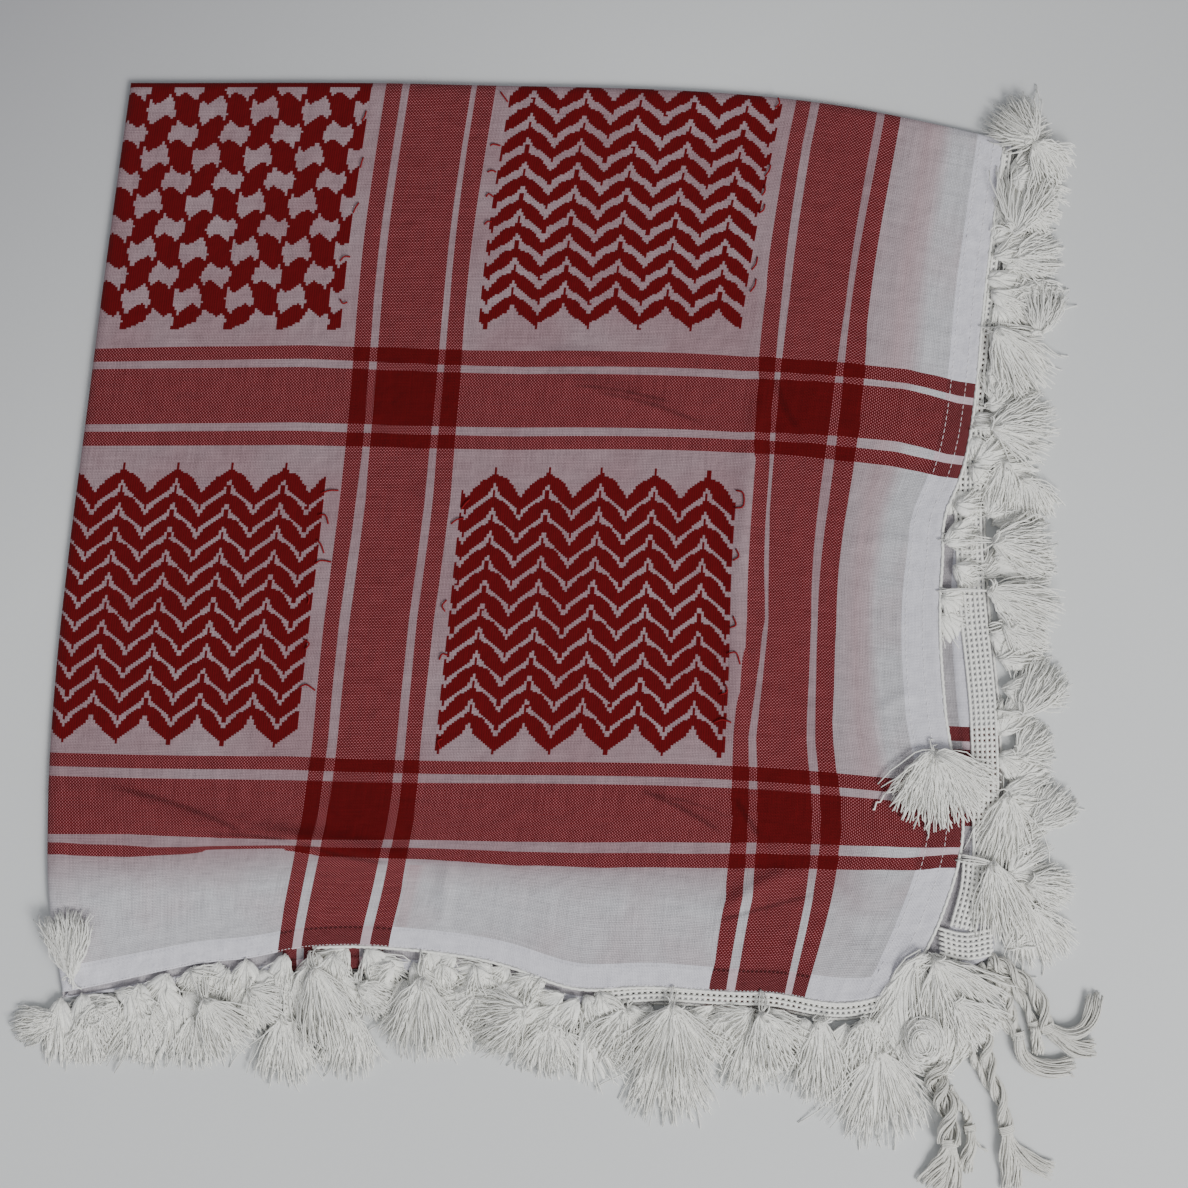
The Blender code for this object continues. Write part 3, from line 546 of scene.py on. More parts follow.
class Nodes:
    """A material and the means to add nodes to it."""

    def __init__(self, name):
        self.material = bpy.data.materials.new(name)
        self.material.use_nodes = True
        self.tree = self.material.node_tree
        self.shader = self.tree.nodes["Principled BSDF"]

    def feed(self, value, socket):
        if isinstance(value, Value):
            self.tree.links.new(value.socket, socket)
        elif isinstance(value, bpy.types.NodeSocket):
            self.tree.links.new(value, socket)
        else:
            socket.default_value = value

    def add(self, kind, **settings):
        node = self.tree.nodes.new(kind)
        for key, value in settings.items():
            setattr(node, key, value)
        return node

    def math(self, operation, *values, clamp=False):
        node = self.add("ShaderNodeMath", operation=operation, use_clamp=clamp)
        for value, socket in zip(values, node.inputs):
            self.feed(value, socket)
        return Value(self, node.outputs[0])

    def dot(self, vector, x, y):
        """x times the vector's first part and y times its second."""
        node = self.add("ShaderNodeVectorMath", operation="DOT_PRODUCT")
        self.tree.links.new(vector, node.inputs[0])
        node.inputs[1].default_value = (x, y, 0.0)
        return Value(self, node.outputs["Value"])

    def attribute(self, name):
        return self.add("ShaderNodeAttribute", attribute_name=name)

    def split(self, socket):
        node = self.add("ShaderNodeSeparateXYZ")
        self.tree.links.new(socket, node.inputs[0])
        return [Value(self, out) for out in node.outputs]

    def noise(self, vector, scale, detail=2.0, rough=0.5):
        node = self.add("ShaderNodeTexNoise")
        self.tree.links.new(vector, node.inputs["Vector"])
        node.inputs["Scale"].default_value = scale
        node.inputs["Detail"].default_value = detail
        node.inputs["Roughness"].default_value = rough
        return Value(self, node.outputs["Fac"])

    def stretched(self, vector, x, y):
        node = self.add("ShaderNodeMapping", vector_type="POINT")
        self.tree.links.new(vector, node.inputs["Vector"])
        node.inputs["Scale"].default_value = (x, y, 1.0)
        return node.outputs["Vector"]

    def blend(self, share, a, b):
        """Colour a where share is 0 and b where it is 1."""
        node = self.add("ShaderNodeMix", data_type="RGBA")
        self.feed(share, node.inputs["Factor"])
        for colour, socket in ((a, node.inputs[6]), (b, node.inputs[7])):
            if isinstance(colour, tuple):
                socket.default_value = (*colour, 1.0)
            else:
                self.tree.links.new(colour, socket)
        return node.outputs[2]

    def brightness(self, colour, value):
        """The colour times a number."""
        node = self.add("ShaderNodeVectorMath", operation="SCALE")
        self.tree.links.new(colour, node.inputs[0])
        self.feed(value, node.inputs["Scale"])
        return node.outputs[0]

    def bump(self, height, distance, strength=1.0, after=None):
        node = self.add("ShaderNodeBump")
        node.inputs["Strength"].default_value = strength
        node.inputs["Distance"].default_value = distance
        self.feed(height, node.inputs["Height"])
        if after is not None:
            self.tree.links.new(after, node.inputs["Normal"])
        return node.outputs["Normal"]

    def set(self, **values):
        for key, value in values.items():
            self.shader.inputs[key.replace("_", " ")].default_value = value


# ---------------------------------------------------------------- the cloth's pattern
YARN = 1.045 * MM
STEP_ACROSS = 1.6 * MM          # a pattern yarn's width, which gives the blocks their stepped edges
STEP_DOWN = 1.2 * MM
BANDS_ACROSS = (0.217, 0.497)   # middles of the striped bands
BANDS_DOWN = (0.2155, 0.4955)
GAP_START = 0.45                # of a yarn's half width, where the shade between yarns starts
FOLD_ROW_END = 3.4 * MM         # the pattern's row along the far fold
MARGIN = (0.525, 0.560)         # the cloth turns paler from the one to the other
STITCH_LINE = (QUARTER_DOWN - 0.0190, QUARTER_DOWN - 0.0174)
STITCH_STEP = 3.4 * MM
TWIST_LENGTH = 2.4 * MM         # of one turn of a plied yarn

WHITE = (0.60, 0.593, 0.622)     # the margins
TINTED = (0.325, 0.212, 0.233)   # ground where red layers below show through
HEM_WHITE = (0.79, 0.778, 0.845)
RED = (0.100, 0.0020, 0.0030)
RED_YARN = (0.112, 0.0022, 0.0038)
PINK = (0.43, 0.150, 0.168)     # a white yarn between red ones


def bands(x, middles, half_width):
    """1 within half_width, in mm, of a middle."""
    first, second = (under(absolute(x - middle), half_width * MM) for middle in middles)
    return high(first, second)


def stripes(x, middles, edges):
    """1 in a band's wide stripe and in the thin one on each side of it."""
    wide, thin_start, thin_end = edges[3:]
    found = bands(x, middles, wide)
    for middle in middles:
        found = high(found, inside(absolute(x - middle), thin_start * MM, thin_end * MM))
    return found


def zigzag(u, v):
    """The three zigzag blocks: 1 where red pattern yarn lies on top. Depths and heights are in mm.

    One block is at the far fold, one at the left fold and the middle one in the corner of the bands.
    """
    far = under(v, 0.2)
    middle = over(u, 0.2) * (1.0 - far)

    def each(left, far_value, middle_value=None):
        """A measure of each block; the middle block's is the left one's where none is given."""
        value = mix(left, far_value, far)
        return value if middle_value is None else mix(value, middle_value, middle)

    # The leaves hang in rows from a line that falls to each side of a peak.
    first = each(0.0317, 0.2815, 0.2875)
    period = each(0.0365, 0.0361, 0.0377)
    slant = each(-0.025, 0.043, -0.014)
    share = fract((u - slant * (v - 0.26 * (1.0 - far)) - first) / period)
    falling = under(share, 0.5)
    along = 1.0 - absolute(1.0 - share * 2.0)
    above = sine(along * math.pi) * mix(3.6, each(4.6, 3.3), falling)
    slope = mix(each(0.4, -1.7), each(0.8, 0.0), falling)
    below = low(along * 4.5, 1.0) * each(4.7, 3.8) + along * slope + each(4.6, 4.4)

    pitch = each(16.03, 16.43)
    deep = each(14.5, 12.0)
    last = each(10.5, 9.5)
    fallen = (v - each(0.2668, -0.0018, 0.2690)) * 1000.0
    off = fallen - deep * along
    row = floor(off / pitch + 0.42)
    off = off - row * pitch
    leaf = over(off, -above) * under(off, below) * inside(row, -0.5, last)

    side = low(share, 1.0 - share)
    row = floor(fallen / pitch + 0.55)
    up = row * pitch - fallen
    peak = under(side * period * 1000.0, high(2.2 - up, 0.0) + 1.1) * inside(up, -1.5, 6.4)
    peak = peak * inside(row, -0.5, last)

    drop = fallen - deep
    row = floor(drop / pitch + 0.15)
    dip = drop - row * pitch
    valley = under((0.5 - side) * period * 1000.0, 1.1) * over(dip, 0.0) * under(dip, each(11.4, 9.4))
    valley = valley * inside(row, -0.5, last)

    left_block = under(u, 0.1695) * over(v, 0.25)
    far_block = inside(u, 0.2655, 0.450) * far
    middle_block = inside(u, 0.2640, 0.458) * over(v, 0.25)
    region = high(high(left_block, far_block), middle_block) * under(v, 0.47)
    return high(leaf, high(peak, valley)) * region


# The shade in the sharpest creases: from x, y; to x, y; bow and half width in mm; how dark.
CREASE_SHADES = (
    (-305, -106,     -213, -138,   3,   3.0,   0.30),
    (-240, -139,     -179, -144,   2,   2.2,   0.28),
    (-179, -143,     -113, -158,   -3,  2.6,   0.30),
    (8, 169,         80, 157,      2,   2.2,   0.28),
    (22, 165,        101, 142,     3,   2.6,   0.24),
    (149, 178,       166, 138,     -3,  4.0,   0.25),
    (56, -108,       112, -137,    2,   3.0,   0.30),
    (64, -111,       118, -127,    2,   2.0,   0.18),
    (121, -113,      138, -140,    0,   3.5,   0.28),
    (106, -199,      179, -179,    0,   2.6,   0.30),
)


def crease_shade(nodes):
    """Painted shade: a soft dark line in each crease."""
    place = nodes.add("ShaderNodeTexCoord").outputs["Object"]
    total = 0.0
    for x0, y0, x1, y1, bow, wide, dark in CREASE_SHADES:
        x, y = (float(part) for part in np.array((x0, y0)) * MM - BOX_MIDDLE)
        length = math.hypot(x1 - x0, y1 - y0) * MM
        run_x = (x1 - x0) * MM / length
        run_y = (y1 - y0) * MM / length
        along = nodes.dot(place, run_x / length, run_y / length)
        t = along.calculate("SUBTRACT", (x * run_x + y * run_y) / length, clamp=True)
        hump = t * (1.0 - t)
        across = nodes.dot(place, -run_y / (wide * MM), run_x / (wide * MM))
        across = across - (y * run_x - x * run_y) / (wide * MM)
        off = hump.calculate("MULTIPLY_ADD", -4.0 * bow / wide, across)
        core = nodes.math("SUBTRACT", 1.0, off * off, clamp=True)
        shade = core * core * hump.calculate("MULTIPLY", 8.0, clamp=True)
        total = shade.calculate("MULTIPLY_ADD", dark, total)
    return total


def capsule(x, y, half_x, half_y, radius):
    """1 within radius of the line from (-half_x, -half_y) to (half_x, half_y)."""
    reach = half_x * half_x + half_y * half_y
    t = low(high((x * half_x + y * half_y) / reach, -1.0), 1.0)
    off_x = x - t * half_x
    off_y = y - t * half_y
    return under(off_x * off_x + off_y * off_y, radius * radius)


def lozenge(x, y, lean, wide, tall):
    """1 inside a leaning shape with full sides and blunt ends; all in mm."""
    part = absolute(y) / tall
    return under(absolute(x - y * lean), (1.0 - part * part * part) * wide)


LINKS = (
    # middle x, y; half length x, y of the short bars that join the fishnet's shapes, in mm
    (-7.35, 7.0, -0.92, 2.5), (9.95, 10.0, 1.8, 3.5), (-10.57, -9.75, -2.49, -3.75), (7.55, -5.5, 0.6, -3.5),
)


def fishnet(u, v):
    """The block at the cloth's middle: upright and slanted shapes joined in a net."""
    wide = 36.2
    tall = 32.2
    x = (u + v * 0.002 - 0.0066) * (1000.0 / wide)
    y = (v - 0.0193) * (1000.0 / tall)

    def near(value, middle, size):
        """How far value is from the closest repeat of middle, in mm."""
        return (fract(value - middle + 0.5) - 0.5) * size

    from_second = near(x, 0.506, wide)
    found = high(lozenge(near(x, 0.0, wide), near(y, 0.0, tall), 0.30, 8.3, 12.4),
                 lozenge(from_second, near(y, 0.490, tall), -0.38, 7.8, 12.5))
    for middle_x, middle_y, half_x, half_y in LINKS:
        off_x = near(x, middle_x / wide, wide)
        off_y = near(y, middle_y / tall, tall)
        found = high(found, capsule(off_x, off_y, half_x, half_y, 1.8))
    foot = low(0.1672 - from_second * 0.00045, 0.1688)
    return found * under(u, 0.1692) * under(v - foot, 0.0)


class Weave:
    """Single yarns across and down, and which of them are red; each measure is a Value."""

    def __init__(self, nodes):
        self.place = nodes.attribute("weave").outputs["Vector"]
        thread_u, thread_v, _ = nodes.split(self.place)
        self.u, self.v, self.hem = nodes.split(nodes.attribute("cloth").outputs["Vector"])
        self.warp_up = fract((floor(thread_u / YARN) + floor(thread_v / YARN)) * 0.5) * 2.0
        from_middle_u = absolute(fract(thread_u / YARN) - 0.5) * 2.0
        from_middle_v = absolute(fract(thread_v / YARN) - 0.5) * 2.0
        self.between = mix(from_middle_v, from_middle_u, self.warp_up)
        self.gap = over(self.between, GAP_START)
        red_warp = stripes(self.u, BANDS_ACROSS, STRIPE_EDGES_ACROSS)
        red_weft = stripes(self.v, BANDS_DOWN, STRIPE_EDGES_DOWN)
        self.in_stripe = high(red_warp, red_weft)
        self.red = high(mix(red_weft, red_warp, self.warp_up), self.gap * self.in_stripe)
        self.in_band = high(bands(self.u, BANDS_ACROSS, STRIPE_EDGES_ACROSS[4]),
                            bands(self.v, BANDS_DOWN, STRIPE_EDGES_DOWN[4]))


def floating_yarn(weave):
    """1 where the red pattern yarn lies on the right side, in steps of its own width."""
    step_u = (floor(weave.u / STEP_ACROSS) + 0.5) * STEP_ACROSS
    step_v = (floor(weave.v / STEP_DOWN) + 0.5) * STEP_DOWN
    fold_row = under(step_v, FOLD_ROW_END) * under(weave.u, 0.170)
    return high(high(zigzag(step_u, step_v), fishnet(step_u, step_v)), fold_row)


def ground_colour(nodes, weave, slow, embroidered):
    """The white yarns' colour: tinted where red layers lie below, and palest in the hems."""
    u = weave.u
    v = weave.v
    if embroidered:
        margin = high(ramp(u, *MARGIN), ramp(v, *MARGIN))
        ground = nodes.blend(low(slow * 0.5 + 0.70, 1.0) * (1.0 - margin), WHITE, TINTED)
        # Stripes of the layer below that show through the margins.
        right_echo = ramp(absolute(u - 0.549), 0.013, 0.004) * under(v, 0.50) * 0.30
        near_echo = ramp(absolute(u - 0.262), 0.010, 0.004) * over(v, 0.540) * 0.28
        soft = ramp(slow, 0.46, 0.66) * 0.16 * margin
        ground = nodes.blend(high(high(right_echo, near_echo), soft) * (1.0 - weave.hem), ground, PINK)
    else:
        ground = nodes.blend(slow * 0.4, WHITE, TINTED)
    ground = nodes.blend(weave.hem, ground, HEM_WHITE)
    return nodes.blend(weave.in_band * weave.hem * 0.45, ground, PINK)


def cloth_tone(nodes, weave, yarns, patchy, embroidered):
    """How bright each place is: its yarn, the gaps, patches, painted shade in the creases, and the stitch
    line in the near hem.
    """
    u = weave.u
    v = weave.v
    hem = weave.hem
    in_stripe = weave.in_stripe
    gap = (weave.gap * 0.36 - 0.10) * (1.0 - hem * 0.6) * (1.0 - in_stripe)
    tone = (yarns - 0.5) * mix(1.05, 0.45, hem) + (patchy - 0.5) * 0.28 + 1.0 - gap
    tone = tone + (0.34 - u) * 0.30 * ramp(v, 0.50, 0.56)
    tone = tone - ramp(u, 0.52, 0.56) * inside(v, 0.25, 0.50) * 0.07
    if embroidered:
        tone = tone - crease_shade(nodes)
    stitched = inside(v, *STITCH_LINE) * under(fract(u / STITCH_STEP), 0.62)
    return tone * (1.0 - stitched * hem * (in_stripe * 0.45 + 0.10)) * (1.0 - in_stripe * hem * 0.20)


def cloth_material(name, embroidered):
    """Plain weave with red stripes both ways and, on the right side, floating pattern yarn."""
    nodes = Nodes(name)
    weave = Weave(nodes)
    slow = nodes.noise(weave.place, 16.0, 3.0)
    patchy = nodes.noise(weave.place, 120.0)
    along_down = nodes.noise(nodes.stretched(weave.place, 1250.0, 22.0), 1.0, rough=0.6)
    along_across = nodes.noise(nodes.stretched(weave.place, 22.0, 1250.0), 1.0, rough=0.6)
    yarns = mix(along_across, along_down, weave.warp_up)

    ground = ground_colour(nodes, weave, slow, embroidered)
    colour = nodes.blend(weave.in_stripe * (1.0 - weave.red), ground, PINK)
    colour = nodes.blend(weave.red, colour, RED)
    tone = cloth_tone(nodes, weave, yarns, patchy, embroidered)
    height = 1.0 - weave.between * weave.between + yarns * 1.2
    if embroidered:
        pattern = floating_yarn(weave)
        strand = absolute(fract(weave.u / STEP_ACROSS) - 0.5) * 2.0
        colour = nodes.blend(pattern, colour, RED_YARN)
        tone = mix(tone, (along_down - 0.5) * 0.5 + 1.08 - strand * strand * 0.22, pattern)
        height = mix(height, 3.0 - strand * strand * 1.2, pattern)
    nodes.feed(nodes.brightness(colour, tone), nodes.shader.inputs["Base Color"])

    normal = nodes.bump(height, 0.00022, 0.7)
    normal = nodes.bump(patchy, 0.0016, 0.6, normal)
    nodes.feed(normal, nodes.shader.inputs["Normal"])
    nodes.set(Roughness=0.9, Sheen_Weight=0.06, Sheen_Roughness=0.5, Specular_IOR_Level=0.12)
    nodes.set(Sheen_Tint=(1.0, 0.72, 0.74, 1.0))
    return nodes.material


def yarn_material(name, colour, shade, sheen=0.2):
    """Loosely plied cotton: a tone for each strand, fuzz, and the slant of its twist. On the tassels' skirts
    the tone is partly painted shade.
    """
    nodes = Nodes(name)
    along, round_it, _ = nodes.split(nodes.attribute("run").outputs["Vector"])
    tone = nodes.attribute("tone").outputs["Fac"]
    fuzz = nodes.noise(nodes.add("ShaderNodeTexCoord").outputs["Object"], 900.0)
    twist = sine((along / TWIST_LENGTH + round_it) * (2 * math.pi))
    base = nodes.brightness(nodes.blend(tone, colour, shade), fuzz * 0.12 + 0.95 + twist * 0.03)
    nodes.feed(base, nodes.shader.inputs["Base Color"])
    nodes.feed(nodes.bump(twist + fuzz, 0.00012, 0.25), nodes.shader.inputs["Normal"])
    nodes.set(Roughness=0.95, Sheen_Weight=sheen, Sheen_Roughness=0.6, Specular_IOR_Level=0.15)
    return nodes.material


# ---------------------------------------------------------------- cloth layers
def fine_stations(whole, steps, hem_width, hem_steps=7):
    """Places across a quarter: close together in the fold's roll and in the hem."""
    roll = [FOLD_REACH * (1 - math.cos(math.radians(angle))) for angle in range(0, 90, 15)]
    hem = whole - hem_width
    field = np.linspace(FOLD_REACH, hem - 0.0008, steps)
    return np.array([*roll, *field, *np.linspace(hem, whole - 0.0012, hem_steps), whole - 0.0005, whole])


def larger(of_across, of_down):
    """The larger of a value for each place across and one for each place down, [down, across]."""
    return np.maximum(of_across[None, :] * 1.0, of_down[:, None] * 1.0)


def wrinkles(where, across, down):
    """Small soft wrinkles on top of part.py's creases, and the puckers of the hems."""
    x = where[..., 0]
    y = where[..., 1]
    total = 0.00022 * np.sin(92 * x + 31 * np.sin(7 * y) + 3) * np.sin(64 * y + 17 * np.sin(9 * x))
    total += ridges(where, FINE_CREASES)
    total += 0.00012 * np.sin(210 * x - 120 * y + 4 * np.sin(23 * y)) * np.sin(75 * y + 40 * x)
    right_share = np.clip((across - (QUARTER_ACROSS - RIGHT_HEM)) / RIGHT_HEM, 0, 1)[None, :]
    near_share = np.clip((down - (QUARTER_DOWN - NEAR_HEM)) / NEAR_HEM, 0, 1)[:, None]
    right_pucker = np.sin(down * 620 + 5 * np.sin(31 * down)) * np.sin(97 * down)
    near_pucker = np.sin(across * 590 + 5 * np.sin(37 * across)) * np.sin(83 * across)
    return total + PUCKER * right_share * right_pucker[:, None] + PUCKER * near_share * near_pucker[None]


HIDDEN_TOP = {2: 0.0054, 3: 0.0036, 4: 0.0018}           # of a hidden layer's hem
MEETING_HEIGHT = {1: FOLD_LINE, 2: 0.0036, 3: 0.0032, 4: FOLD_LINE}     # of a layer at its fold
INSET = {1: 0.0, 2: 0.0015, 3: 0.0004, 4: 0.0}
FOLD_INSET = {1: 0.0, 2: 0.004, 3: 0.004, 4: 0.0}        # more of it at the folds


def layer_surface(level, across, down):
    """A layer's upper side, [down, across, xyz], its thickness and its share of hem."""
    where = plan(across, down)
    wide = across[-1]
    tall = down[-1]
    hem = larger(across > wide - RIGHT_HEM - 0.0001, down > tall - NEAR_HEM - 0.0001)
    edge = larger(across > wide - EDGE_ROUNDING, down > tall - EDGE_ROUNDING)
    if level == 1:
        step = larger(np.clip((across - wide + RIGHT_HEM) / HEM_STEP + 1, 0, 1),
                      np.clip((down - tall + NEAR_HEM) / HEM_STEP + 1, 0, 1))
        flat = CLOTH_TOP + relief(where) + wrinkles(where, across, down) + HEM_RISE * step - 0.0004 * edge
        thick = 0.0008 + 0.0010 * hem - 0.0009 * edge
    else:
        swell = 0.0002 * np.sin(41 * where[..., 0] + 60 * where[..., 1])
        flat = HIDDEN_TOP[level] - 0.0010 * (1 - hem) - 0.0004 * edge + swell
        thick = 0.0006 + 0.0008 * hem - 0.0006 * edge
    roll_across = np.sqrt(1 - np.clip(1 - across / FOLD_REACH, 0, 1) ** 2)
    roll_down = np.sqrt(1 - np.clip(1 - down / FOLD_REACH, 0, 1) ** 2)
    roll = roll_down[:, None] * roll_across[None, :]
    meet = MEETING_HEIGHT[level]
    height = meet + (flat - meet) * roll
    away = where - where.mean(axis=(0, 1))
    inset = INSET[level] + FOLD_INSET[level] * (1 - roll)
    where = where - away / np.linalg.norm(away, axis=2, keepdims=True) * inset[..., None]
    return np.concatenate((where, height[..., None]), axis=2), thick, hem


def make_cloth_layer(name, level, steps, finish, node_replaced):
    """One quarter of the cloth. Level 1 lies on top and level 4 on the floor."""
    wide, tall = (QUARTER_ACROSS, QUARTER_DOWN) if level == 1 else (HIDDEN_ACROSS, HIDDEN_DOWN)
    across = fine_stations(wide, steps, RIGHT_HEM)
    down = fine_stations(tall, steps, NEAR_HEM)
    surface, thick, hem = layer_surface(level, across, down)
    points, faces = closed_sheet(surface, thick)
    made = make_object(name, points, faces, finish)
    if level == 1:
        grid_u, grid_v = pattern_place(across, down)
    else:
        grid_u, grid_v = across[None, :], down[:, None] + HIDDEN_SLIP
    threads = (across[None, :], down[:, None], 0 * hem)
    for key, values in (("cloth", (grid_u, grid_v, hem)), ("weave", threads)):
        one_side = np.stack(np.broadcast_arrays(*values), axis=-1).reshape(-1, 3)
        add_values(made, key, np.concatenate((one_side, one_side)), "FLOAT_VECTOR")
    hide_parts(node_replaced)
    return made


# ---------------------------------------------------------------- tapes
def free_edge(side, across, down):
    """Points along the free edge of a quarter of this size."""
    if side == "right":
        return plan([across], np.linspace(0, down, 160))[:, 0]
    return plan(np.linspace(0, across, 160), [down])[0]


def tape_line(side, level):
    """The outer edge of a tape, and the way out from it."""
    size = (QUARTER_ACROSS, QUARTER_DOWN) if level == "top" else (HIDDEN_ACROSS, HIDDEN_DOWN)
    edge = free_edge(side, *size)
    away = outward(edge, 1 if side == "right" else -1)
    return edge + away * TAPE_REACH[level], away


def add_cord(yarns, line, away, fine, inset, z, wave):
    """One flat, slightly scalloped cord of a tape."""
    along = distances(line)
    sway = wave * np.sin(fine * 2 * math.pi / SCALLOP)
    base = between(line, along, fine) - between(away, along, fine) * (inset + sway)[:, None]
    height = z + 0.00022 * np.cos(fine * 2 * math.pi / TAPE_PITCH + inset * 800)
    yarns.add(np.column_stack((base, height)), TAPE_CORD_RADIUS, 0.15, sides=4, flat=2.3)


def weave_tape(yarns, line, away, start, end, z, insets, wave):
    """A tape: flat cords along it and, on a wide one, rungs between them that leave small square holes."""
    count = int((end - start) / TAPE_PITCH)
    fine = np.linspace(start, end, count * 2)
    for inset in insets:
        add_cord(yarns, line, away, fine, inset, z, wave)
    if len(insets) > 1:
        along = distances(line)
        at = start + (np.arange(count) + 0.5) * TAPE_PITCH
        rungs = between(line, along, at)[:, None] - between(away, along, at)[:, None] * RUNG_INSETS[:, None]
        yarns.add(with_height(rungs, z - 0.0002), RUNG_RADIUS, 0.3, sides=4, flat=2.9)


def make_tape(yarns, side, level):
    line, away = tape_line(side, level)
    end = distances(line)[-1] - TAPE_END[level]
    start = TAPE_STARTS.get((side, level), TAPE_START)
    if level == "second":
        weave_tape(yarns, line, away, start, end, TAPE_HEIGHT[level] + 0.0002, WIDE_TAPE, 0.00012)
    else:
        weave_tape(yarns, line, away, start, end, TAPE_HEIGHT[level], (0.0010,), 0.00022)
    if (side, level) == ("right", "second"):
        for points, way in CORNER_TAPES:
            line = spline(points, 30)
            away = np.broadcast_to(np.array(way), line.shape)
            weave_tape(yarns, line, away, 0.0, distances(line)[-1], CORNER_TAPE_HEIGHT, WIDE_TAPE, 0.00012)


# ---------------------------------------------------------------- tassels
def bezier(a, b, c, d, steps):
    """Points on cubic bends, for arrays of their four points."""
    t = np.linspace(0, 1, steps)[None, :, None]
    return (a[:, None] * (1 - t) ** 3 + 3 * b[:, None] * t * (1 - t) ** 2 + 3 * c[:, None] * t**2 * (1 - t)
            + d[:, None] * t**3)


def direction(angle):
    """A step of length one in the plan at an angle, or at each of many."""
    return np.stack((np.cos(angle), np.sin(angle)), axis=-1)


def with_height(flat, z):
    """Points in space from points of the plan and their heights."""
    return np.concatenate((flat, np.broadcast_to(np.asarray(z, float), flat.shape[:-1])[..., None]), axis=-1)


def add_collar(yarns, centre, axis, radius, turns=4.5):
    """Turns of yarn round a bundle that runs along axis."""
    side = np.array((-axis[1], axis[0], 0.0))
    up = np.array((0.0, 0.0, 1.0))
    run = np.array((*axis, 0.0))
    t = np.linspace(0, turns, int(turns * 12) + 1)[:, None]
    turn = 2 * math.pi * t
    path = centre + run * (t - turns / 2) * CORD_RADIUS * 1.8
    path = path + (side * np.cos(turn) + up * 0.9 * np.sin(turn)) * radius
    yarns.add(path, CORD_RADIUS, 0.5, sides=5)


def ripple(path, angle, rng, size):
    """Side to side and up and down waves in strands, growing from their root."""
    count, steps = path.shape[:2]
    length = np.linalg.norm(np.diff(path, axis=1), axis=2).sum(axis=1)[:, None]
    t = np.linspace(0, 1, steps)[None, :]
    wavelength = rng.uniform(0.010, 0.024, (count, 1))
    phase = rng.uniform(0, 2 * math.pi, (count, 1))
    wave = rng.uniform(0.3, 1.0, (count, 1)) * size * np.minimum(1, t * 2.5)
    turn = 2 * math.pi * t * length / wavelength + phase
    path[..., :2] += direction(angle + math.pi / 2)[:, None] * (np.sin(turn) * wave)[..., None]
    path[..., 2] += np.cos(turn * 1.3) * wave * 0.5
    return path


